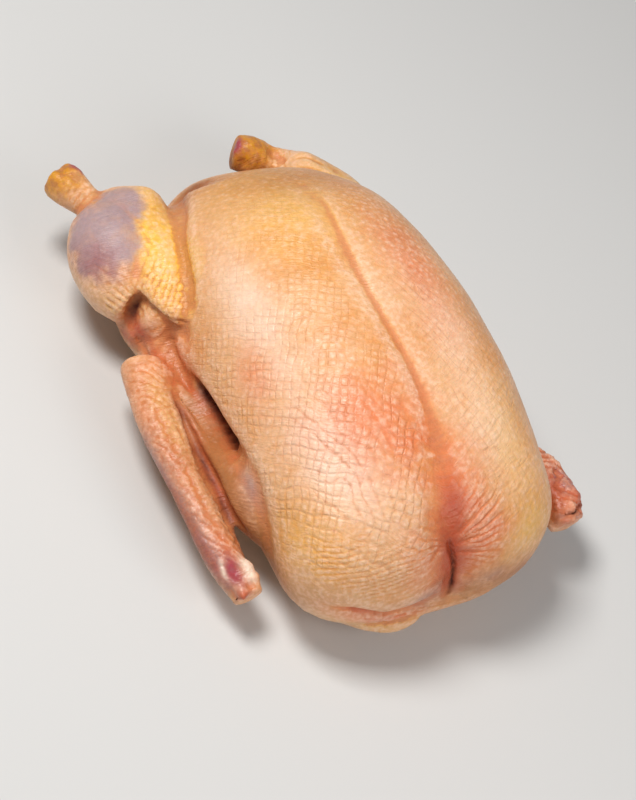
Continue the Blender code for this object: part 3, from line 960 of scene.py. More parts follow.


# the skin's own colours, with painted shade and a painted highlight among them
STAINS_AND_PAINTED_LIGHT: list[Patch | Stroke] = [
    # yellow fat under the skin: the left web, the belly, the breast, the tail
    Patch(Mask.FAT, (-0.088, 0.122, 0.087), (0.020, 0.042, 0.020), 1.1, 2.0),
    Patch(Mask.FAT, (-0.070, 0.165, 0.080), (0.018, 0.016, 0.014), 0.8, 2.0),
    Patch(Mask.FAT, (-0.096, 0.090, 0.080), (0.014, 0.016, 0.012), 0.7),
    Patch(Mask.FAT, (-0.020, 0.105, 0.136), (0.040, 0.045, 0.030), 0.45),
    Patch(Mask.FAT, (-0.010, 0.150, 0.105), (0.045, 0.030, 0.030), 0.45),
    Patch(Mask.FAT, (0.050, -0.080, 0.130), (0.020, 0.040, 0.035), 0.3),
    Patch(Mask.FAT, (0.060, -0.132, 0.090), (0.030, 0.020, 0.030), 0.45),
    Patch(Mask.FAT, (-0.085, -0.105, 0.085), (0.030, 0.030, 0.026), 0.35),
    Patch(Mask.FAT, (0.060, 0.165, 0.072), (0.030, 0.026, 0.020), 0.4),
    Patch(Mask.FAT, (0.000, 0.190, 0.040), (0.030, 0.024, 0.030), 0.6),
    Patch(Mask.FAT, (-0.112, 0.105, 0.056), (0.018, 0.014, 0.014), 0.35),
    # the blushes on the breast, the flanks and the shoulder
    Patch(Mask.BLUSH, (-0.042, -0.058, 0.138), (0.030, 0.034, 0.030), 0.8),
    Patch(Mask.BLUSH, (-0.024, -0.082, 0.136), (0.018, 0.020, 0.022), 0.55),
    Patch(Mask.BLUSH, (-0.008, -0.060, 0.144), (0.012, 0.030, 0.022), 0.5),
    Patch(Mask.BLUSH, (0.036, 0.046, 0.150), (0.020, 0.050, 0.022), 0.65),
    Patch(Mask.BLUSH, (-0.084, 0.000, 0.113), (0.009, 0.020, 0.018), 0.5),
    Patch(Mask.BLUSH, (-0.092, 0.066, 0.054), (0.014, 0.026, 0.018), 0.6),
    Patch(Mask.BLUSH, (0.092, -0.050, 0.085), (0.016, 0.040, 0.026), 0.3),
    Patch(Mask.BLUSH, (0.092, 0.050, 0.070), (0.018, 0.040, 0.020), 0.4),
    Patch(Mask.BLUSH, (-0.100, -0.040, 0.060), (0.008, 0.030, 0.010), 0.7),
    # bruised, purplish skin: the drumstick, the shoulder, the wing's outer side, the neck
    Patch(Mask.BRUISE, (-0.113, 0.144, 0.070), (0.028, 0.032, 0.026), 1.0, 5.0),
    Patch(Mask.MAGENTA, (-0.131, 0.138, 0.062), (0.008, 0.016, 0.012), 0.4, 1.5),
    Patch(Mask.BRUISE, (-0.097, 0.163, 0.077), (0.017, 0.022, 0.017), 1.0, 5.0),
    Patch(Mask.MAGENTA, (-0.125, 0.125, 0.073), (0.012, 0.013, 0.012), 0.55, 1.5),
    Patch(Mask.MAGENTA, (-0.112, 0.116, 0.074), (0.010, 0.007, 0.008), 0.35, 1.5),
    Patch(Mask.BRUISE, (-0.0965, -0.052, 0.070), (0.005, 0.016, 0.010), 0.8),
    Stroke(Mask.BRUISE, 0.0085, [
        (-0.132, 0.010, 0.038), (-0.131, -0.010, 0.036), (-0.129, -0.047, 0.036), (-0.127, -0.073, 0.038),
        (-0.123, -0.094, 0.037),
    ], 1.6),
    Stroke(Mask.MAGENTA, 0.006, [
        (-0.131, -0.010, 0.037), (-0.129, -0.045, 0.037), (-0.127, -0.075, 0.038),
        (-0.124, -0.095, 0.038),
    ], 1.2),
    Patch(Mask.BRUISE, (0.038, -0.148, 0.067), (0.012, 0.010, 0.006), 0.6),
    Patch(Mask.BRUISE, (-0.008, -0.148, 0.058), (0.016, 0.008, 0.008), 0.7),
    # raw and reddened skin in and beside the cleft
    Patch(Mask.RAW, (0.001, -0.117, 0.113), (0.009, 0.017, 0.018), 1.0),
    Patch(Mask.RAW, (0.007, -0.138, 0.080), (0.013, 0.012, 0.024), 0.55),
    Stroke(Mask.RAW, 0.007, [
        (-0.002, -0.118, 0.112), (0.001, -0.130, 0.096), (0.004, -0.139, 0.082), (0.008, -0.145, 0.057),
    ], 1.1),
    Patch(Mask.BLUSH, (0.002, -0.110, 0.120), (0.022, 0.030, 0.026), 1.0),
    Patch(Mask.BLUSH, (0.004, -0.136, 0.086), (0.020, 0.020, 0.026), 0.9),
    Patch(Mask.BLUSH, (0.022, -0.132, 0.098), (0.022, 0.018, 0.022), 0.95),
    Patch(Mask.BLUSH, (-0.018, -0.136, 0.086), (0.016, 0.014, 0.026), 0.6),
    # the reddened rim under the left leg, and the left wing's slot
    Patch(Mask.RAW, (-0.110, 0.088, 0.046), (0.008, 0.016, 0.010), 0.85),
    Stroke(Mask.RAW, 0.0045, [
        (-0.107, 0.097, 0.052), (-0.107, 0.085, 0.049), (-0.104, 0.070, 0.046), (-0.100, 0.056, 0.048),
    ], 0.8),
    Stroke(Mask.RAW, 0.004, [
        (-0.108, 0.105, 0.030), (-0.112, 0.090, 0.034), (-0.108, 0.066, 0.040), (-0.102, 0.046, 0.046),
    ], 0.8),
    Stroke(Mask.RAW, 0.007, [
        (-0.094, 0.044, 0.045), (-0.088, 0.030, 0.047), (-0.084, 0.018, 0.047), (-0.082, 0.002, 0.047),
        (-0.083, -0.012, 0.050), (-0.089, -0.025, 0.058),
    ], 1.0),
    # painted shade on the left wing, in the slot and the gap between the forearm and the trunk; a darker
    # tone along the forearm; and the red line in its groove
    Stroke(Mask.SHADE, 0.01, [
        (-0.098, 0.036, 0.050), (-0.095, 0.002, 0.053), (-0.098, -0.024, 0.060),
    ], 0.7),
    Stroke(Mask.SHADE, 0.011, [
        (-0.096, 0.010, 0.052), (-0.100, -0.010, 0.054), (-0.103, -0.030, 0.058), (-0.105, -0.050, 0.057),
        (-0.102, -0.068, 0.048),
    ], 1.1),
    Stroke(Mask.SHADE, 0.015, [
        (-0.120, 0.060, 0.048), (-0.122, 0.020, 0.048), (-0.119, -0.030, 0.046), (-0.116, -0.080, 0.042),
    ], 0.55),
    Stroke(Mask.RAW, 0.0036, [
        (-0.104, 0.036, 0.050), (-0.104, 0.002, 0.047), (-0.104, -0.018, 0.046), (-0.103, -0.054, 0.044),
        (-0.101, -0.080, 0.041),
    ], 0.9),
    # the right wing's stump: blushed skin, raw meat and clots
    Patch(Mask.BLUSH, (0.130, -0.092, 0.054), (0.018, 0.034, 0.014), 1.2),
    Patch(Mask.MAGENTA, (0.131, -0.090, 0.057), (0.010, 0.010, 0.012), 1.6),
    Patch(Mask.MAGENTA, (0.139, -0.104, 0.054), (0.006, 0.010, 0.010), 0.9),
    Patch(Mask.RAW, (0.137, -0.101, 0.053), (0.008, 0.011, 0.010), 0.9),
    Patch(Mask.RAW, (0.120, -0.096, 0.054), (0.005, 0.018, 0.006), 0.9),
    Patch(Mask.RAW, (0.125, -0.114, 0.049), (0.010, 0.006, 0.006), 0.6),
    Patch(Mask.MAGENTA, (0.126, -0.076, 0.057), (0.006, 0.006, 0.006), 0.6),
    # the left forearm: a blush along it, fat on its top and the elbow
    Stroke(Mask.BLUSH, 0.009, [
        (-0.122, 0.060, 0.048), (-0.127, 0.030, 0.046), (-0.124, -0.020, 0.044), (-0.120, -0.070, 0.042),
        (-0.114, -0.100, 0.040),
    ], 0.95),
    Patch(Mask.FAT, (-0.120, 0.010, 0.052), (0.008, 0.060, 0.010), 0.65),
    Patch(Mask.BLUSH, (-0.118, 0.056, 0.052), (0.014, 0.012, 0.010), 0.5),
    # the neck skin, and the fold beside the tail
    Stroke(Mask.BLUSH, 0.008, [
        (-0.074, -0.132, 0.052), (-0.050, -0.142, 0.046), (-0.026, -0.148, 0.040),
        (-0.006, -0.149, 0.042),
    ], 1.0),
    Stroke(Mask.FAT, 0.009, [
        (-0.074, -0.132, 0.044), (-0.050, -0.142, 0.036), (-0.026, -0.147, 0.030),
        (-0.006, -0.149, 0.034),
    ], 0.35),
    Stroke(Mask.RAW, 0.0026, [
        (-0.070, -0.133, 0.056), (-0.040, -0.146, 0.051), (-0.010, -0.150, 0.050),
    ], 0.7),
    Stroke(Mask.MAGENTA, 0.006, [
        (-0.056, 0.160, 0.078), (-0.042, 0.172, 0.072), (-0.031, 0.170, 0.084),
    ], 0.55),
    # the right leg and wing, coloured like the left
    Patch(Mask.FAT, (0.078, 0.122, 0.082), (0.020, 0.036, 0.020), 0.8, 2.0),
    Patch(Mask.BRUISE, (0.098, 0.135, 0.064), (0.016, 0.022, 0.018), 0.55, 3.0),
    Patch(Mask.MAGENTA, (0.100, 0.120, 0.060), (0.010, 0.012, 0.010), 0.35, 1.5),
    Patch(Mask.PEBBLE, (0.084, 0.096, 0.076), (0.018, 0.024, 0.020), 0.6, 2.0),
    Stroke(Mask.PEBBLE, 0.0125, [
        (0.112, 0.050, 0.046), (0.114, 0.010, 0.048), (0.117, -0.040, 0.050), (0.124, -0.075, 0.052),
    ], 1.0),
    Stroke(Mask.BLUSH, 0.009, [
        (0.112, 0.050, 0.046), (0.116, 0.010, 0.046), (0.118, -0.040, 0.048), (0.126, -0.075, 0.050),
    ], 0.9),
    Stroke(Mask.BRUISE, 0.007, [
        (0.122, 0.020, 0.038), (0.124, -0.020, 0.038), (0.130, -0.060, 0.040),
    ], 0.9),
    Stroke(Mask.RAW, 0.006, [
        (0.094, 0.036, 0.050), (0.089, 0.010, 0.053), (0.089, -0.012, 0.056), (0.092, -0.030, 0.062),
    ], 0.8),
    # painted deep shade in the right wing's slot, and painted shade low beside it
    Stroke(Mask.DARK, 0.003, [
        (0.091, 0.032, 0.050), (0.086, 0.010, 0.052), (0.086, -0.012, 0.055), (0.089, -0.026, 0.060),
    ], 0.8),
    Stroke(Mask.SHADE, 0.01, [
        (0.094, -0.030, 0.056), (0.098, -0.060, 0.050), (0.092, -0.100, 0.046),
    ], 0.7),
    # painted deep shade in the holes and slits, in the tail's fold and under the right hock
    Stroke(Mask.DARK, 0.0013, [
        (-0.001, -0.132, 0.094), (0.001, -0.134, 0.090), (0.005, -0.136, 0.082), (0.008, -0.139, 0.073),
        (0.010, -0.142, 0.064), (0.010, -0.146, 0.054),
    ], 1.3),
    Stroke(Mask.DARK, 0.0034, [
        (-0.110, 0.096, 0.048), (-0.107, 0.100, 0.055), (-0.104, 0.101, 0.061),
    ], 1.0),
    Patch(Mask.DARK, (-0.038, 0.174, 0.071), (0.014, 0.007, 0.013), 0.4),
    Patch(Mask.DARK, (0.017, 0.208, 0.049), (0.008, 0.010, 0.006), 0.6),
    Stroke(Mask.DARK, 0.0036, [
        (-0.087, 0.034, 0.054), (-0.083, 0.026, 0.053), (-0.080, 0.014, 0.053), (-0.079, 0.004, 0.053),
        (-0.080, -0.008, 0.054), (-0.083, -0.019, 0.057),
    ], 1.4),
    Stroke(Mask.DARK, 0.002, [
        (-0.104, 0.030, 0.047), (-0.104, 0.000, 0.045), (-0.104, -0.040, 0.043), (-0.102, -0.070, 0.041),
    ], 0.8),
    Stroke(Mask.DARK, 0.0022, [
        (-0.004, -0.150, 0.046), (-0.012, -0.151, 0.045), (-0.022, -0.150, 0.043),
    ], 0.9),
    Stroke(Mask.DARK, 0.0014, [
        (0.117, -0.112, 0.052), (0.124, -0.1135, 0.053), (0.131, -0.111, 0.054), (0.138, -0.107, 0.051),
    ], 1.1),
    # painted shade, darker towards the ground: low on the sides and the front, along the bottom of the left
    # forearm and elbow, in the tail's fold and under the right hock; and a darker brown over the belly
    # towards the tail
    Stroke(Mask.SHADE, 0.015, [
        (-0.094, -0.030, 0.058), (-0.096, -0.065, 0.050), (-0.090, -0.095, 0.046),
        (-0.080, -0.115, 0.046),
    ], 0.8),
    Stroke(Mask.SHADE, 0.009, [
        (-0.112, 0.060, 0.038), (-0.108, 0.090, 0.034), (-0.118, 0.120, 0.034),
    ], 0.7),
    Stroke(Mask.SHADE, 0.018, [
        (0.010, -0.150, 0.056), (0.045, -0.148, 0.058), (0.080, -0.135, 0.058), (0.098, -0.105, 0.060),
    ], 0.9),
    Stroke(Mask.SHADE, 0.008, [
        (-0.130, 0.040, 0.036), (-0.131, 0.000, 0.034), (-0.127, -0.060, 0.032), (-0.120, -0.105, 0.030),
    ], 0.5),
    Stroke(Mask.SHADE, 0.013, [
        (-0.060, 0.156, 0.080), (-0.042, 0.170, 0.074), (-0.028, 0.166, 0.088),
    ], 1.1),
    Patch(Mask.SHADE, (0.004, 0.145, 0.110), (0.060, 0.042, 0.040), 0.6),
    Patch(Mask.SHADE, (-0.126, 0.060, 0.044), (0.010, 0.016, 0.010), 0.4),
    Patch(Mask.SHADE, (0.024, 0.208, 0.048), (0.022, 0.018, 0.008), 1.0),
    # the golden hocks, with raw corners where the feet were cut off
    Patch(Mask.GOLD, (-0.118, 0.208, 0.062), (0.020, 0.019, 0.020), 1.0, 3.0),
    Patch(Mask.GOLD, (0.022, 0.212, 0.058), (0.026, 0.026, 0.022), 1.0, 3.0),
    Patch(Mask.CUT, (-0.107, 0.207, 0.070), (0.007, 0.007, 0.007), 1.0, 2.0),
    Patch(Mask.CUT, (0.015, 0.213, 0.062), (0.008, 0.009, 0.008), 1.2, 2.0),
    # the wrist's cut end: meat, the white knob and the bone
    Stroke(Mask.MAGENTA, 0.0064, [
        (-0.1165, -0.081, 0.043), (-0.1175, -0.090, 0.041), (-0.116, -0.100, 0.041),
    ], 1.3),
    Stroke(Mask.CUT, 0.0046, [
        (-0.1165, -0.083, 0.0425), (-0.117, -0.091, 0.0405), (-0.1155, -0.099, 0.041),
    ], 1.2),
    Stroke(Mask.BONE, 0.0016, [
        (-0.1215, -0.082, 0.042), (-0.1225, -0.090, 0.040), (-0.1225, -0.099, 0.039),
    ], 0.8),
    Stroke(Mask.BONE, 0.0034, [
        (-0.108, -0.084, 0.044), (-0.107, -0.092, 0.0435), (-0.1075, -0.100, 0.043),
    ], 1.0),
    Stroke(Mask.RAW, 0.004, [
        (-0.1215, -0.105, 0.037), (-0.118, -0.109, 0.040), (-0.113, -0.109, 0.041),
    ], 0.9),
    Stroke(Mask.BLUSH, 0.0075, [
        (-0.118, -0.064, 0.045), (-0.118, -0.072, 0.044), (-0.113, -0.078, 0.045),
    ], 1.2),
    # pale skin and fat: a painted highlight along the left flank, and paler patches on the breast, the leg,
    # the forearm and the right wing's stump
    Patch(Mask.PALE, (-0.072, 0.040, 0.124), (0.016, 0.066, 0.022), 0.9),
    Patch(Mask.PALE, (-0.064, -0.075, 0.124), (0.028, 0.046, 0.028), 1.1),
    Patch(Mask.PALE, (0.034, -0.010, 0.150), (0.020, 0.060, 0.022), 0.6),
    Patch(Mask.PALE, (0.040, -0.080, 0.136), (0.022, 0.032, 0.022), 0.7),
    Patch(Mask.PALE, (-0.118, 0.112, 0.062), (0.006, 0.010, 0.006), 0.6),
    Patch(Mask.PALE, (-0.113, 0.140, 0.082), (0.010, 0.022, 0.010), 0.2),
    Patch(Mask.PALE, (0.128, -0.106, 0.058), (0.008, 0.005, 0.006), 0.8),
    Patch(Mask.PALE, (0.127, -0.082, 0.060), (0.006, 0.004, 0.006), 0.7),
    Stroke(Mask.PALE, 0.0036, [
        (-0.116, 0.030, 0.052), (-0.117, -0.010, 0.051), (-0.116, -0.050, 0.049), (-0.112, -0.080, 0.046),
    ], 0.2),
    # where the skin is pebbly
    Patch(Mask.PEBBLE, (-0.096, 0.092, 0.078), (0.018, 0.020, 0.020), 0.65, 2.0),
    Patch(Mask.PEBBLE, (-0.086, 0.130, 0.086), (0.020, 0.032, 0.020), 0.3, 2.0),
    Patch(Mask.PEBBLE, (-0.112, 0.104, 0.054), (0.020, 0.020, 0.020), 0.5),
    Stroke(Mask.PEBBLE, 0.0125, [
        (-0.118, 0.066, 0.044), (-0.120, 0.030, 0.046), (-0.119, -0.020, 0.044), (-0.116, -0.070, 0.040),
        (-0.112, -0.100, 0.038),
    ], 1.0),
    Patch(Mask.PEBBLE, (0.040, 0.075, 0.140), (0.026, 0.060, 0.030), 0.34),
    Patch(Mask.PEBBLE, (0.000, 0.140, 0.118), (0.050, 0.026, 0.026), 0.22),
    Patch(Mask.PEBBLE, (-0.118, 0.204, 0.062), (0.018, 0.022, 0.018), 0.6),
    Patch(Mask.PEBBLE, (0.026, 0.208, 0.058), (0.026, 0.020, 0.020), 0.7),
    Patch(Mask.PEBBLE, (0.130, -0.092, 0.052), (0.024, 0.036, 0.020), 0.9),
    Patch(Mask.PEBBLE, (-0.040, 0.165, 0.080), (0.026, 0.018, 0.018), 0.6),
]


def ramp(values: np.ndarray, start: float, length: float) -> np.ndarray:
    """How far along a stretch each value is, from 0 before it to 1 past it."""
    return np.clip((values - start) / length, 0, 1)


@dataclass
class Tract:
    """The rows and columns of cells that feathers leave in the skin, narrowing towards the tail."""

    apex_y: float = 0.738
    spacing: float = 0.00714
    turn: float = math.radians(27.0)
    waver: float = 0.42
    waver_per_metre: float = 75.0
    lowest: float = 0.055
    low_fade: float = 0.03
    belly_y: float = 0.105
    belly_fade: float = 0.05
    belly_least: float = 0.25
    flank_x: float = 0.094
    flank_fade: float = 0.012
    bare_keel: float = 0.011
    keel_bareness: float = 0.85
    right_x: float = 0.01
    right_fade: float = 0.03
    dull_right: float = 0.60
    patchiness: float = 1.1
    patch_middle: float = 0.62
    patch_least: float = 0.10
    clarity_y: tuple[float, ...] = (-0.13, -0.10, -0.02, 0.06, 0.14)
    clarity: tuple[float, ...] = (0.60, 1.00, 0.70, 0.42, 0.35)
    axis_height: float = 0.44
    ring_count: int = 48
    trunk: Trunk = field(default_factory=Trunk)

    def round_trunk(self, places: np.ndarray) -> np.ndarray:
        """How far round the trunk each place is from the keel, in metres.

        Args:
            places: The skin's points.

        Returns:
            The distances.
        """
        rings = [np.array(self.trunk.ring(n / self.ring_count)) for n in range(self.ring_count + 1)]
        ring_y = np.array([ring[0, 1] for ring in rings])
        centre = self.trunk.depth * self.axis_height
        tables = []
        for ring in rings:
            right = ring[ring[:, 0] >= 0]
            right = right[np.argsort(-right[:, 2])]
            steps = np.linalg.norm(np.diff(right, axis=0, prepend=right[:1]), axis=1)
            tables.append((np.arctan2(np.abs(right[:, 0]), right[:, 2] - centre), np.cumsum(steps)))
        angle = np.arctan2(np.abs(places[:, 0]), places[:, 2] - centre)
        first = np.clip(np.searchsorted(ring_y, places[:, 1]) - 1, 0, self.ring_count - 1)
        share = np.clip((places[:, 1] - ring_y[first]) / (ring_y[first + 1] - ring_y[first]), 0, 1)
        reading = np.array([np.interp(angle, *table) for table in tables])
        index = np.arange(len(places))
        return reading[first, index] * (1 - share) + reading[first + 1, index] * share

    def cells(self, places: np.ndarray) -> np.ndarray:
        """Each place's column, row and how clearly cells show there.

        Args:
            places: The skin's points.

        Returns:
            Three numbers a row; the lines between the cells are where the first two are whole numbers.
        """
        around = self.round_trunk(places)
        ahead = self.apex_y - places[:, 1]
        across, along = np.arctan2(around, ahead), np.log(np.hypot(around, ahead))
        column = (across * math.cos(self.turn) - along * math.sin(self.turn)) / self.spacing
        row = (across * math.sin(self.turn) + along * math.cos(self.turn)) / self.spacing
        sway = np.array([noise.noise_vector(Vector(place) * self.waver_per_metre) for place in places])
        clear = ramp(places[:, 2], self.lowest, self.low_fade)
        clear *= np.maximum(1 - ramp(places[:, 1], self.belly_y, self.belly_fade), self.belly_least)
        clear *= 1 - ramp(np.abs(places[:, 0]), self.flank_x, self.flank_fade)
        clear *= 1 - self.keel_bareness * np.exp(-((around / self.bare_keel) ** 2))
        clear *= 1 - self.dull_right * ramp(places[:, 0], self.right_x, self.right_fade)
        clear *= np.clip(self.patch_middle + self.patchiness * sway[:, 2], self.patch_least, 1.0)
        clear *= np.interp(places[:, 1], self.clarity_y, self.clarity)
        return np.column_stack([column + self.waver * sway[:, 0], row + self.waver * sway[:, 1], clear])


# ---------------------------------------------------------------- finishes


@dataclass(frozen=True)
class RawSkin:
    """Raw goose skin: fat, blushes and bruises under it, cells and follicles in it, a damp sheen, and
    painted shade and highlights in its colour.
    """

    skin: Colour = (0.79, 0.415, 0.187)
    warm: Colour = (0.74, 0.325, 0.105)
    fat: Colour = (0.97, 0.55, 0.080)
    blush: Colour = (0.77, 0.195, 0.070)
    bruise: Colour = (0.43, 0.295, 0.300)
    magenta: Colour = (0.33, 0.100, 0.100)
    raw: Colour = (0.48, 0.075, 0.024)
    # painted deep shade, for the holes and slits
    dark: Colour = (0.075, 0.014, 0.008)
    gold: Colour = (0.64, 0.275, 0.016)
    cut: Colour = (0.36, 0.060, 0.075)
    bone: Colour = (0.82, 0.66, 0.52)
    # pale skin and fat, and also used for painted highlights
    pale: Colour = (0.91, 0.63, 0.465)
    # the lines between the cells, also used for painted shade in the creases
    line_and_crease_shade: Colour = (0.62, 0.20, 0.085)
    # painted shade, and also the darker brown of some skin and of the hocks' speckles
    shade: Colour = (0.43, 0.160, 0.052)
    follicle: Colour = (0.40, 0.13, 0.07)
    # the sheen, and the light that goes under the skin
    roughness: float = 0.35
    roughness_spread: float = 0.30
    dark_roughness: float = 0.35
    gloss: float = 0.33
    under_skin: float = 0.14
    under_skin_radius: Colour = (1.0, 0.42, 0.22)
    under_skin_depth: float = 0.003
    # the relief's depth in metres, its parts as shares of that, and the wrinkles across and along a cell
    relief_depth: float = 0.0007
    relief_strength: float = 0.70
    grain_height: float = 0.22
    pore_height: float = 0.16
    dimple_height: float = 0.50
    wrinkle_height: float = 1.1
    wrinkles_to_cell: Span = (0.9, 4.5)
    # how many lumps to a metre the noises have
    sheen_scale: float = 60.0
    grain_scale: float = 900.0
    pore_scale: float = 420.0
    dimple_scale: float = 190.0
    broad_scale: float = 16.0
    patchy_scale: float = 70.0
    speckle_scale: float = 170.0
    fine_scale: float = 320.0
    # where each mark begins and where it is full
    pore_edge: Span = (0.55, 0.05)
    across_line: Span = (0.24, 0.00)
    along_line: Span = (0.30, 0.00)
    follicle_edge: Span = (0.42, 0.05)
    across_pillow: Span = (0.00, 0.40)
    along_pillow: Span = (0.00, 0.50)
    warm_patches: Span = (0.40, 0.62)
    speckle_edge: Span = (0.47, 0.60)
    ridge_edge: Span = (0.05, -0.90)
    bump_highlight_spots: Span = (0.42, 0.62)
    line_patches: Span = (0.36, 0.66)
    follicle_spots: Span = (0.35, 0.60)
    pebble_line: Span = (0.16, 0.02)
    hollow_edge: Span = (0.45, 1.20)
    # how much of each mark's colour is laid on
    stain_and_light_amount: float = 0.50
    raw_and_deep_shade_amount: float = 0.60
    raw_spread: float = 0.80
    speckle_amount: float = 0.70
    # painted shade in the creases, and painted highlights on the ridges and raised spots
    crease_shade_amount: float = 0.20
    plain_crease_shade_amount: float = 0.40
    ridge_highlight_amount: float = 0.25
    bump_highlight_amount: float = 0.35
    across_amount: float = 0.70
    line_amount: float = 0.33
    follicle_amount: float = 0.40
    pebble_line_amount: float = 0.50
    # painted shade in the deep hollows
    hollow_shade_amount: float = 0.40
    mottle_least: float = 0.82
    mottle_spread: float = 0.36

    def make(self) -> bpy.types.Material:
        """The finish's shader.

        Returns:
            The material.
        """
        material = bpy.data.materials.new("raw_skin")
        material.use_nodes = True
        tree = material.node_tree
        tree.nodes.clear()
        bench = ShaderBench(tree)
        place = bench.out("ShaderNodeTexCoord", {}, "Object")
        height, lines, dots = self.cell_maths(bench)
        surface = bench.node(
            "ShaderNodeBsdfPrincipled",
            {},
            Base_Color=self.colouring(bench, place, lines, dots),
            Roughness=self.sheen(bench, place),
            Specular_IOR_Level=self.gloss,
            Normal=self.relief(bench, place, height),
            Subsurface_Weight=self.under_skin,
            Subsurface_Radius=self.under_skin_radius,
            Subsurface_Scale=self.under_skin_depth,
        )
        output = bench.node("ShaderNodeOutputMaterial", {})
        tree.links.new(surface.outputs[0], output.inputs["Surface"])
        return material

    def sheen(self, bench: ShaderBench, place: Shade) -> Shade:
        """The skin's roughness, patchy, and duller where deep shade is painted into the holes."""
        patchy = self.roughness_spread * (bench.cloud(place, self.sheen_scale, 3.0) - 0.5)
        return (self.roughness + patchy + self.dark_roughness * bench.mask(Mask.DARK)).clamp()

    def relief(self, bench: ShaderBench, place: Shade, height: Shade) -> Shade:
        """The fine relief's normal.

        Args:
            bench: Where the nodes go.
            place: The coordinates.
            height: The cells' height.

        Returns:
            The normal.
        """
        grain = self.grain_height * bench.cloud(place, self.grain_scale, 3.0)
        spots = bench.out("ShaderNodeTexVoronoi", {}, "Distance", Vector=place, Scale=self.pore_scale)
        pores = self.pore_height * spots.between(*self.pore_edge)
        dimples = self.dimple_height * bench.cloud(place, self.dimple_scale, 3.0)
        depth = {"Strength": self.relief_strength, "Distance": self.relief_depth}
        return bench.out("ShaderNodeBump", {}, 0, Height=height + grain + pores + dimples, **depth)

    def cell_maths(self, bench: ShaderBench) -> tuple[Shade, Shade, Shade]:
        """The cells' height, the lines between them and the dots where the lines cross.

        Args:
            bench: Where the nodes go.

        Returns:
            The height, mostly from 0 to 2, and the other two from 0 to 1.
        """
        tract = bench.out("ShaderNodeAttribute", {"attribute_name": TRACT}, "Vector")
        split = bench.node("ShaderNodeSeparateXYZ", {}, s0=tract)
        column, row, clear = (Shade(bench, socket) for socket in split.outputs)
        across, along = column.ridge(), row.ridge()
        lines = self.across_amount * across.between(*self.across_line)
        lines = lines.maths("MAXIMUM", along.between(*self.along_line)) * clear
        dots = across.between(*self.follicle_edge) * along.between(*self.follicle_edge) * clear
        to_column, to_row = self.wrinkles_to_cell
        stretched = bench.out("ShaderNodeCombineXYZ", {}, 0, s0=column * to_column, s1=row * to_row)
        pillow = across.between(*self.across_pillow) * along.between(*self.along_pillow) * clear
        return pillow + self.wrinkle_height * bench.cloud(stretched, 1.0, 3.0), lines, dots

    def colouring(self, bench: ShaderBench, place: Shade, lines: Shade, dots: Shade) -> Shade:
        """The skin's colour, with painted shade in its creases and hollows and painted highlights on its
        ridges.

        Args:
            bench: Where the nodes go.
            place: The coordinates.
            lines: How much each point lies on a line between cells.
            dots: How much it lies on a follicle.

        Returns:
            The colour.
        """
        broad = bench.cloud(place, self.broad_scale, 3.0)
        patchy = bench.cloud(place, self.patchy_scale, 4.0)
        fine = bench.cloud(place, self.fine_scale, 3.0)
        colour = bench.mix(broad.between(*self.warm_patches), self.skin, self.warm)
        # the stains, with painted shade and a painted highlight among them
        stains_and_light = (Mask.PALE, Mask.FAT, Mask.BLUSH, Mask.GOLD, Mask.BRUISE, Mask.MAGENTA, Mask.SHADE)
        for mask in stains_and_light:
            amount = bench.mask(mask) * (self.stain_and_light_amount + patchy)
            colour = bench.lay(colour, amount, getattr(self, mask.value))
        # the hocks' own dark speckles, laid in the brown that the painted shade uses too
        speckled = bench.cloud(place, self.speckle_scale, 4.0).between(*self.speckle_edge)
        colour = bench.lay(colour, speckled * bench.mask(Mask.GOLD) * self.speckle_amount, self.shade)
        crease, hollow = bench.stored(CREASE), bench.stored(HOLLOW)
        # where the hocks are golden, the skin is bruised or painted shade lies; elsewhere is plain
        stained = bench.mask(Mask.GOLD)
        for mask in (Mask.BRUISE, Mask.SHADE):
            stained = stained.maths("MAXIMUM", bench.mask(mask))
        plain = 1 - stained
        # painted shade in the skin's creases, in the lines' colour, and painted highlights on its ridges
        # and raised spots, in the pale colour
        crease_shade = crease.maths("MAXIMUM", 0.0) * (self.crease_shade_amount + self.plain_crease_shade_amount * plain)
        colour = bench.lay(colour, crease_shade, self.line_and_crease_shade)
        colour = bench.lay(colour, crease.maths("MINIMUM", 0.0) * plain * -self.ridge_highlight_amount, self.pale)
        bump_highlights = crease.between(*self.ridge_edge) * fine.between(*self.bump_highlight_spots) * plain
        colour = bench.lay(colour, bump_highlights * self.bump_highlight_amount, self.pale)
        colour = bench.lay(colour, lines * patchy.between(*self.line_patches) * self.line_amount, self.line_and_crease_shade)
        spotted = dots * fine.between(*self.follicle_spots)
        colour = bench.lay(colour, spotted * self.follicle_amount, self.follicle)
        gap = bench.out(
            "ShaderNodeTexVoronoi",
            {"feature": "DISTANCE_TO_EDGE"},
            "Distance",
            Vector=place,
            Scale=PEBBLES_PER_METRE,
            Randomness=PEBBLE_RAGGEDNESS,
        )
        pebbled = gap.between(*self.pebble_line) * bench.mask(Mask.PEBBLE)
        colour = bench.lay(colour, pebbled * self.pebble_line_amount, self.line_and_crease_shade)
        # painted shade in the deep hollows and folds
        colour = bench.lay(colour, hollow.between(*self.hollow_edge) * self.hollow_shade_amount, self.shade)
        # raw meat, cut ends and bone, and painted deep shade in the holes and slits
        for mask in (Mask.RAW, Mask.CUT, Mask.BONE, Mask.DARK):
            amount = bench.mask(mask) * (self.raw_and_deep_shade_amount + self.raw_spread * fine)
            colour = bench.lay(colour, amount, getattr(self, mask.value))
        mottle = self.mottle_least + self.mottle_spread * fine
        grey = bench.out("ShaderNodeCombineXYZ", {}, 0, s0=mottle, s1=mottle, s2=mottle)
        return bench.mix(1.0, colour, grey, "MULTIPLY")


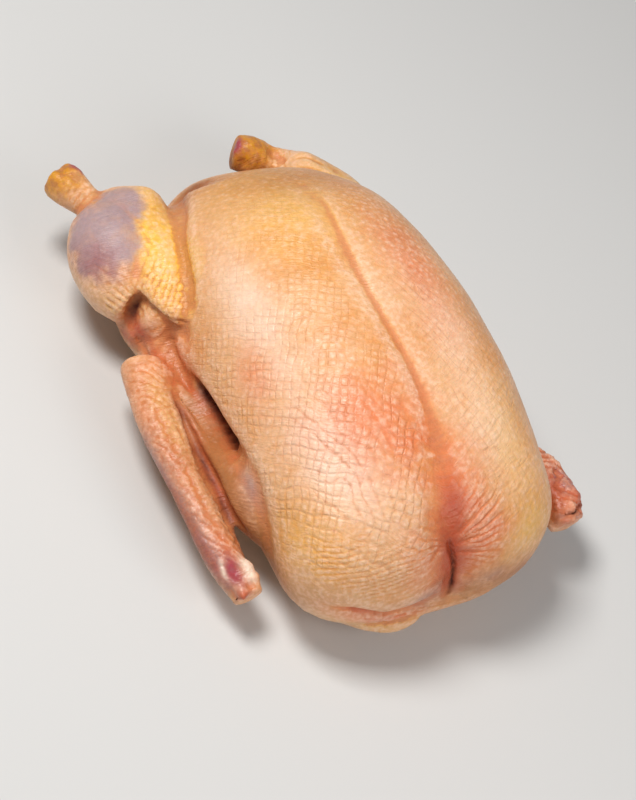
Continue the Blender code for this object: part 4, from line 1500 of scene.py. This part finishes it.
@dataclass(frozen=True)
class PaleFloor:
    """The plain pale floor's matt finish."""

    colour: Colour = (0.64, 0.635, 0.625)
    roughness: float = 0.85

    def make(self) -> bpy.types.Material:
        """The finish's shader.

        Returns:
            The material.
        """
        material = bpy.data.materials.new("pale_floor")
        material.use_nodes = True
        surface = material.node_tree.nodes["Principled BSDF"]
        surface.inputs["Base Color"].default_value = (*self.colour, 1.0)
        surface.inputs["Roughness"].default_value = self.roughness
        return material


# ---------------------------------------------------------------- geometry nodes


class GeometryBench(Bench):
    """Adds Geometry Nodes to one tree, between its input and output."""

    def __init__(self, name: str, inputs: dict[str, float]) -> None:
        """Start a tree.

        Args:
            name: The tree's name.
            inputs: Its number inputs, by name.
        """
        tree = bpy.data.node_groups.new(name, "GeometryNodeTree")
        tree.is_modifier = True
        tree.interface.new_socket("Geometry", in_out="INPUT", socket_type="NodeSocketGeometry")
        for label in inputs:
            tree.interface.new_socket(label, in_out="INPUT", socket_type="NodeSocketFloat")
        tree.interface.new_socket("Geometry", in_out="OUTPUT", socket_type="NodeSocketGeometry")
        super().__init__(tree)
        self.inputs = inputs
        self.entry = tree.nodes.new("NodeGroupInput")
        self.exit = tree.nodes.new("NodeGroupOutput")

    def given(self, name: str) -> Shade:
        """One of the tree's inputs."""
        return Shade(self, self.entry.outputs[name])

    def stored(self, name: str, kind: str) -> Shade:
        """What is stored on the skin's points, by its attribute's name and kind."""
        return self.out("GeometryNodeInputNamedAttribute", {"data_type": kind}, 0, Name=name)

    def wave(self, turns: Shade) -> Shade:
        """A wave that is 0 at each whole number and 1 midway between them."""
        return 0.5 - 0.5 * (turns * math.tau).maths("COSINE")

    def apply(self, obj: bpy.types.Object, geometry: Shade, material: bpy.types.Material) -> None:
        """End the tree, bake what it makes into the object's mesh and take the modifier off.

        Args:
            obj: The object.
            geometry: The tree's last geometry.
            material: The material it sets.
        """
        real = self.out("GeometryNodeRealizeInstances", {}, 0, Geometry=geometry)
        dressed = self.out("GeometryNodeSetMaterial", {}, 0, Geometry=real, Material=material)
        self.tree.links.new(dressed.socket, self.exit.inputs[0])
        modifier = obj.modifiers.new(self.tree.name, "NODES")
        modifier.node_group = self.tree
        for socket in self.tree.interface.items_tree:
            if socket.name in self.inputs:
                modifier[socket.identifier] = self.inputs[socket.name]
        bake(obj)


def bake(obj: bpy.types.Object) -> None:
    """Put the object's evaluated mesh in place of its own, and clear its modifiers.

    Args:
        obj: The object.
    """
    graph = bpy.context.evaluated_depsgraph_get()
    mesh = bpy.data.meshes.new_from_object(obj.evaluated_get(graph))
    mesh.name = obj.name
    obj.modifiers.clear()
    obj.data = mesh


# ---------------------------------------------------------------- the bird


def vectors_of(owners: bpy.types.bpy_prop_collection, name: str) -> np.ndarray:
    """A vector that each of a mesh's elements has.

    Args:
        owners: The elements.
        name: The vector's name.

    Returns:
        The vectors, one a row.
    """
    found = np.empty(len(owners) * 3)
    owners.foreach_get(name, found)
    return found.reshape(-1, 3)


def points_of(mesh: bpy.types.Mesh) -> np.ndarray:
    """The mesh's points, one a row."""
    return vectors_of(mesh.vertices, "co")


def normals_of(mesh: bpy.types.Mesh) -> np.ndarray:
    """The normals of the mesh's points, one a row."""
    return vectors_of(mesh.vertex_normals, "vector")


def move_points(mesh: bpy.types.Mesh, places: np.ndarray) -> None:
    """Put the mesh's points at new places."""
    mesh.vertices.foreach_set("co", places.ravel())
    mesh.update()


def press(mesh: bpy.types.Mesh, forms: Sequence[Fold | Lump | Wrinkles]) -> None:
    """Move the mesh's points into each form in turn."""
    for form in forms:
        move_points(mesh, form.push(points_of(mesh), normals_of(mesh)))


def weigh(obj: bpy.types.Object, name: str, weights: np.ndarray) -> bpy.types.VertexGroup:
    """A group of the object's points, with their weights.

    Args:
        obj: The object.
        name: The group's name.
        weights: Each point's weight, of a few values; a point of weight 0 stays out.

    Returns:
        The group.
    """
    group = obj.vertex_groups.new(name=name)
    for weight in np.unique(weights[weights > 0]):
        group.add(np.flatnonzero(weights == weight).tolist(), float(weight), "REPLACE")
    return group


def store(mesh: bpy.types.Mesh, name: str, values: np.ndarray) -> None:
    """Store a number on each of the mesh's points."""
    mesh.attributes.new(name, "FLOAT", "POINT").data.foreach_set("value", values)


@dataclass
class Goose:
    """The whole bird, as one skin."""

    trunk: Trunk = field(default_factory=Trunk)
    legs: list[Leg] = field(
        default_factory=lambda: [
            Leg(
                Side.LEFT,
                knee=(-0.0995, 0.1004, 0.0521),
                ankle=(-0.1032, 0.1795, 0.0577),
                hock_end=(-0.119, 0.2102, 0.0577),
                plumpness=1.0,
                web=[
                    Joint(-0.089, 0.072, 0.069, 0.0065, 0.0074),
                    Joint(-0.084, 0.098, 0.070, 0.0223, 0.0186),
                    Joint(-0.085, 0.135, 0.069, 0.0288, 0.0195),
                    Joint(-0.085, 0.168, 0.062, 0.0260, 0.0177),
                    Joint(-0.082, 0.186, 0.056, 0.0149, 0.0102),
                ],
            ),
            Leg(
                Side.RIGHT,
                knee=(0.0837, 0.1209, 0.0502),
                ankle=(0.0502, 0.1972, 0.0521),
                hock_end=(0.0195, 0.2139, 0.0521),
                plumpness=0.86,
                web=[
                    Joint(0.078, 0.078, 0.065, 0.0056, 0.0074),
                    Joint(0.072, 0.102, 0.066, 0.0167, 0.0158),
                    Joint(0.069, 0.140, 0.065, 0.0205, 0.0177),
                    Joint(0.065, 0.173, 0.059, 0.0186, 0.0158),
                ],
            ),
        ]
    )
    wings: list[Wing] = field(
        default_factory=lambda: [
            Wing(
                Side.LEFT,
                upper_arm=[
                    Joint(-0.056, -0.084, 0.056, 0.0279, 0.0279),
                    Joint(-0.081, -0.056, 0.052, 0.0223, 0.0251),
                    Joint(-0.097, -0.011, 0.044, 0.0107, 0.0126),
                    Joint(-0.100, 0.023, 0.042, 0.0102, 0.0116),
                    Joint(-0.108, 0.056, 0.041, 0.0126, 0.0112),
                ],
                forearm=[
                    Joint(-0.112, 0.068, 0.041, 0.0140, 0.0102),
                    Joint(-0.114, 0.056, 0.042, 0.0160, 0.0121),
                    Joint(-0.117, 0.014, 0.041, 0.0157, 0.0116),
                    Joint(-0.116, -0.037, 0.038, 0.0146, 0.0112),
                    Joint(-0.114, -0.079, 0.035, 0.0132, 0.0102),
                    Joint(-0.111, -0.108, 0.034, 0.0115, 0.0093),
                ],
            ),
            Wing(
                Side.RIGHT,
                upper_arm=[
                    Joint(0.056, -0.093, 0.056, 0.0279, 0.0279),
                    Joint(0.082, -0.065, 0.052, 0.0223, 0.0242),
                    Joint(0.093, -0.019, 0.046, 0.0116, 0.0130),
                    Joint(0.098, 0.019, 0.044, 0.0112, 0.0116),
                    Joint(0.104, 0.042, 0.042, 0.0126, 0.0112),
                ],
                forearm=[
                    Joint(0.105, 0.052, 0.041, 0.0137, 0.0102),
                    Joint(0.107, 0.039, 0.042, 0.0157, 0.0121),
                    Joint(0.110, 0.000, 0.043, 0.0147, 0.0116),
                    Joint(0.113, -0.046, 0.044, 0.0133, 0.0112),
                    Joint(0.124, -0.082, 0.045, 0.0175, 0.0130),
                    Joint(0.127, -0.115, 0.044, 0.0147, 0.0126),
                ],
            ),
        ]
    )
    ends: Ends = field(
        default_factory=lambda: Ends(
            tail=[
                Joint(0.000, 0.140, 0.034, 0.0418, 0.0260),
                Joint(-0.004, 0.182, 0.024, 0.0223, 0.0130),
                Joint(-0.006, 0.204, 0.019, 0.0084, 0.0056),
            ],
            neck_flap=[
                Joint(-0.059, -0.102, 0.028, 0.0130, 0.0149),
                Joint(-0.043, -0.121, 0.025, 0.0167, 0.0121),
                Joint(-0.019, -0.132, 0.025, 0.0186, 0.0121),
                Joint(-0.002, -0.134, 0.032, 0.0149, 0.0121),
            ],
        )
    )
    tract: Tract = field(default_factory=Tract)
    voxel: float = 0.0013
    triangles: int = 192000
    soften: float = 0.5
    soften_rounds: int = 26
    fold_soften_rounds: int = 6
    calm_centre: Point = (-0.100, 0.087, 0.056)
    calm_reach: Point = (0.013, 0.018, 0.011)
    calm_hardness: float = 1.5
    calm_steps: int = 8
    calm_rounds: int = 140
    thin_facing: float = 0.35
    thin_steps: int = 4
    thin_least: float = 0.08
    thin_step: float = 0.23
    unevenness: float = 0.0013
    uneven_per_metre: float = 24.0
    cell_height: float = 0.00020
    pimple_height: float = 0.00022
    pebble_height: float = 0.00090
    cell_middle: float = 0.25
    pimples_per_metre: float = 190.0
    pebble_roundness: float = 3.2
    pebble_middle: float = 0.45
    stained_flatness: float = 0.9
    ragged_per_metre: float = 70.0
    ragged_roughness: float = 0.7
    ragged_fineness: float = 2.0
    ragged_layers: int = 4
    raggedness: float = 0.5
    crease_rounds: int = 14
    crease_depth: float = 0.00016
    hollow_rounds: int = 260
    hollow_depth: float = 0.0030
    ground_skin: float = 0.0008

    def fuse(self) -> bpy.types.Object:
        """One skin round all the lofted parts.

        Returns:
            The skin.
        """
        lofts: dict[str, Rings] = {}
        for part in (self.trunk, *self.legs, *self.wings, self.ends):
            lofts |= part.lofts()
        pieces = [loft_object(name, rings) for name, rings in lofts.items()]
        bpy.ops.object.select_all(action="DESELECT")
        for piece in pieces:
            log.info("lofted %s: %d points", piece.name, len(piece.data.vertices))
            piece.select_set(True)
        goose = pieces[0]
        bpy.context.view_layer.objects.active = goose
        bpy.ops.object.join()
        goose.name = "goose_skin"
        remesh = goose.modifiers.new("one skin", "REMESH")
        remesh.mode = "VOXEL"
        remesh.voxel_size = self.voxel
        self.add_smooth(goose, self.soften_rounds)
        bake(goose)
        return goose

    def add_smooth(self, goose: bpy.types.Object, rounds: int) -> None:
        """Give the skin a smoothing modifier with so many rounds."""
        smooth = goose.modifiers.new("soften", "SMOOTH")
        smooth.factor, smooth.iterations = self.soften, rounds

    def sculpt(self, goose: bpy.types.Object) -> None:
        """Press the folds, then the fine folds, the lumps and the wrinkles, into the skin.

        Args:
            goose: The skin.
        """
        press(goose.data, FOLDS)
        places = points_of(goose.data)
        rise = np.array([noise.noise(Vector(place) * self.uneven_per_metre) for place in places])
        move_points(goose.data, places + normals_of(goose.data) * (self.unevenness * rise)[:, None])
        self.add_smooth(goose, self.fold_soften_rounds)
        bake(goose)
        press(goose.data, (*FINE_FOLDS, *LUMPS))
        self.calm_down(goose)
        press(goose.data, WRINKLES)

    def calm_down(self, goose: bpy.types.Object) -> None:
        """Draw the loose skin under the left web smooth.

        Args:
            goose: The skin.
        """
        calm = blot(points_of(goose.data), self.calm_centre, self.calm_reach, self.calm_hardness)
        group = weigh(goose, "calm", (calm * self.calm_steps).round() / self.calm_steps)
        self.add_smooth(goose, self.calm_rounds)
        goose.modifiers[-1].vertex_group = group.name
        bake(goose)
        goose.vertex_groups.clear()

    def thin_out(self, goose: bpy.types.Object) -> None:
        """Take points away, most of them where the bird faces down.

        Args:
            goose: The skin.
        """
        facing = normals_of(goose.data)[:, 2]
        steps = np.clip((self.thin_facing - facing) * self.thin_steps, 0, self.thin_steps).round()
        group = weigh(goose, "plain", self.thin_least + self.thin_step * steps)
        before = sum(len(face.vertices) - 2 for face in goose.data.polygons)
        thin = goose.modifiers.new("thin out", "DECIMATE")
        thin.ratio = min(1.0, self.triangles / before)
        thin.vertex_group = group.name
        bake(goose)
        goose.vertex_groups.clear()

    def flatten_back(self, mesh: bpy.types.Mesh) -> None:
        """Cut the back off level at the ground and close it with a flat face.

        Args:
            mesh: The skin's mesh.
        """
        skin = bmesh.new()
        skin.from_mesh(mesh)
        ground = {"plane_co": (0, 0, 0), "plane_no": (0, 0, 1)}
        everything = skin.verts[:] + skin.edges[:] + skin.faces[:]
        bmesh.ops.bisect_plane(skin, geom=everything, clear_inner=True, **ground)
        rim = [edge for edge in skin.edges if edge.is_boundary]
        bmesh.ops.edgeloop_fill(skin, edges=rim)
        bmesh.ops.triangulate(skin, faces=skin.faces)
        self.drop_fins(skin)
        bmesh.ops.recalc_face_normals(skin, faces=skin.faces)
        skin.to_mesh(mesh)
        skin.free()

    def drop_fins(self, skin: bmesh.types.BMesh) -> None:
        """Take out every two triangles that lie back to back on the same three points.

        Args:
            skin: The skin, in triangles.
        """
        seen: dict[frozenset[bmesh.types.BMVert], bmesh.types.BMFace] = {}
        fins = []
        for face in skin.faces:
            corners = frozenset(face.verts)
            if corners in seen:
                fins += [seen[corners], face]
            seen[corners] = face
        bmesh.ops.delete(skin, geom=fins, context="FACES")

    def paint(self, mesh: bpy.types.Mesh) -> None:
        """Store the cells' rows and columns and the colour masks on the skin's points.

        Args:
            mesh: The skin's mesh.
        """
        places = points_of(mesh)
        layers = (self.ragged_roughness, self.ragged_fineness, self.ragged_layers)
        uneven = [noise.fractal(Vector(place) * self.ragged_per_metre, *layers) for place in places]
        ragged = np.exp(self.raggedness * np.array(uneven))
        masks = {mask: np.zeros(len(places)) for mask in Mask}
        for mark in STAINS_AND_PAINTED_LIGHT:
            masks[mark.mask] = 1 - (1 - masks[mark.mask]) * (1 - np.clip(mark.add(places, ragged), 0, 1))
        for mask, values in masks.items():
            store(mesh, mask.value, values)
        stained = sum(masks[mask] for mask in (Mask.BRUISE, Mask.RAW, Mask.GOLD, Mask.PEBBLE))
        cells = self.tract.cells(places)
        cells[:, 2] *= 1 - self.stained_flatness * np.clip(stained, 0, 1)
        mesh.attributes.new(TRACT, "FLOAT_VECTOR", "POINT").data.foreach_set("vector", cells.ravel())

    def find_hollows(self, mesh: bpy.types.Mesh) -> None:
        """Store how far each point lies under the smoothed skin, in folds and in creases, for the painted
        shade and highlights of the colour.

        Args:
            mesh: The skin's mesh.
        """
        places, normals = points_of(mesh), normals_of(mesh)
        ends = np.empty(len(mesh.edges) * 2, dtype=np.int64)
        mesh.edges.foreach_get("vertices", ends)
        start, end = ends.reshape(-1, 2).T
        links = np.bincount(ends, minlength=len(places))[:, None]
        smoothed = places
        wanted = {
            self.crease_rounds: (CREASE, self.crease_depth),
            self.hollow_rounds: (HOLLOW, self.hollow_depth),
        }
        for done in range(1, self.hollow_rounds + 1):
            near = [
                np.bincount(start, axis[end], len(places)) + np.bincount(end, axis[start], len(places))
                for axis in smoothed.T
            ]
            smoothed = (smoothed + np.column_stack(near) / links) / 2
            if done in wanted:
                name, depth = wanted[done]
                under = ((smoothed - places) * normals).sum(1)
                store(mesh, name, np.clip(under / depth, -1, 1))

    def raise_cells(self, goose: bpy.types.Object, material: bpy.types.Material) -> None:
        """Swell the skin between its follicles with a Geometry Nodes tree.

        Args:
            goose: The skin.
            material: Its material.
        """
        heights = {
            "Cell Height": self.cell_height,
            "Pimple Height": self.pimple_height,
            "Pebble Height": self.pebble_height,
        }
        bench = GeometryBench("cells", heights)
        tract = bench.stored(TRACT, "FLOAT_VECTOR")
        column, row, clear = (
            Shade(bench, socket) for socket in bench.node("ShaderNodeSeparateXYZ", {}, s0=tract).outputs
        )
        swell = bench.wave(column) * bench.wave(row)
        place = bench.out("GeometryNodeInputPosition", {})
        finest = {"Scale": self.pimples_per_metre, "Detail": 2.0}
        pimples = bench.out("ShaderNodeTexNoise", {}, 0, Vector=place, **finest)
        pebbles = {"Scale": PEBBLES_PER_METRE, "Randomness": PEBBLE_RAGGEDNESS}
        gap = bench.out("ShaderNodeTexVoronoi", {}, "Distance", Vector=place, **pebbles)
        dome = (1 - gap * gap * self.pebble_roundness).clamp() - self.pebble_middle
        height = bench.given("Cell Height") * clear * (swell - self.cell_middle)
        height = height + bench.given("Pimple Height") * (pimples - 0.5) * 2
        height = height + bench.given("Pebble Height") * bench.stored(Mask.PEBBLE.value, "FLOAT") * dome
        normal = bench.out("GeometryNodeInputNormal", {})
        offset = bench.out("ShaderNodeVectorMath", {"operation": "SCALE"}, 0, s0=normal, Scale=height)
        level = bench.out("ShaderNodeSeparateXYZ", {}, "Z", s0=place)
        compare = {"operation": "GREATER_THAN"}
        above = bench.out("FunctionNodeCompare", compare, 0, A=level, B=self.ground_skin)
        skin = {"Geometry": bench.given("Geometry"), "Selection": above, "Offset": offset}
        bench.apply(goose, bench.out("GeometryNodeSetPosition", {}, 0, **skin), material)

    def build(self) -> bpy.types.Object:
        """Make the whole bird.

        Returns:
            Its skin.
        """
        material = RawSkin().make()
        goose = self.fuse()
        self.sculpt(goose)
        self.thin_out(goose)
        self.flatten_back(goose.data)
        self.paint(goose.data)
        self.raise_cells(goose, material)
        self.find_hollows(goose.data)
        goose.data.shade_smooth()
        return goose

    def dress(self, goose: bpy.types.Object) -> None:
        """Say which part of the frame the skin stands for.

        Args:
            goose: The skin.
        """
        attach(goose, "root")
        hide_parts(NODE)


# ---------------------------------------------------------------- the studio


@dataclass
class Lamp:
    """A square soft light, aimed at a point."""

    name: str
    place: Point
    size: float
    watts: float
    colour: Colour = (1.0, 1.0, 1.0)
    aim: Point = (0.0, 0.02, 0.07)

    def build(self) -> None:
        """Put the light in the scene."""
        light = bpy.data.lights.new(self.name, "AREA")
        light.size, light.energy, light.color = self.size, self.watts, self.colour
        obj = bpy.data.objects.new(self.name, light)
        obj.location = self.place
        obj.rotation_euler = (Vector(self.aim) - Vector(self.place)).to_track_quat("-Z", "Y").to_euler()
        bpy.context.scene.collection.objects.link(obj)


@dataclass
class Studio:
    """The floor, the lights and the camera."""

    lamps: list[Lamp] = field(
        default_factory=lambda: [
            Lamp("key", (-0.66, 0.42, 1.49), 0.5, 25.0, (1.0, 0.99, 0.97)),
            Lamp("fill", (0.30, -1.25, 0.95), 1.0, 10.0, (1.0, 0.99, 0.98)),
        ]
    )
    world: Colour = (0.62, 0.62, 0.63)
    world_strength: float = 0.28
    floor_size: float = 6.0
    camera_place: Point = (-0.857, -0.702, 1.334)
    camera_right: Point = (0.849, -0.412, 0.332)
    camera_up: Point = (0.173, 0.809, 0.563)
    lens: float = 117.45

    def floor(self) -> bpy.types.Object:
        """Lay the floor, just under the bird.

        Returns:
            The floor.
        """
        mesh = bpy.data.meshes.new("floor")
        half = self.floor_size / 2
        corners = [(-half, -half, 0), (half, -half, 0), (half, half, 0), (-half, half, 0)]
        mesh.from_pydata(corners, [], [range(len(corners))])
        mesh.materials.append(PaleFloor().make())
        floor = bpy.data.objects.new("floor", mesh)
        bpy.context.scene.collection.objects.link(floor)
        return floor

    def camera(self) -> bpy.types.Object:
        """Aim the camera down at the bird from its left front.

        Returns:
            The camera.
        """
        data = bpy.data.cameras.new("camera")
        data.lens = self.lens
        camera = bpy.data.objects.new("camera", data)
        right = Vector(self.camera_right).normalized()
        up = (Vector(self.camera_up) - Vector(self.camera_up).dot(right) * right).normalized()
        turn = Matrix((right, up, right.cross(up))).transposed().to_4x4()
        camera.matrix_world = Matrix.Translation(self.camera_place) @ turn
        bpy.context.scene.collection.objects.link(camera)
        return camera

    def build(self) -> None:
        """Put everything in the scene."""
        scene = bpy.context.scene
        scene.world = bpy.data.worlds.new("studio")
        scene.world.use_nodes = True
        background = scene.world.node_tree.nodes["Background"]
        background.inputs["Color"].default_value = (*self.world, 1.0)
        background.inputs["Strength"].default_value = self.world_strength
        self.floor()
        for lamp in self.lamps:
            lamp.build()
        scene.camera = self.camera()
        scene.view_settings.view_transform = "Standard"


def main() -> None:
    """Build the bird and the studio, and log how many triangles the bird's skin has."""
    logging.basicConfig(level=logging.INFO, format="%(name)s: %(message)s")
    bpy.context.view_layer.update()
    goose = Goose()
    skin = goose.build()
    goose.dress(skin)
    log.info("%s: %d triangles", skin.name, len(skin.data.polygons))
    Studio().build()


if __name__ == "__main__":
    main()
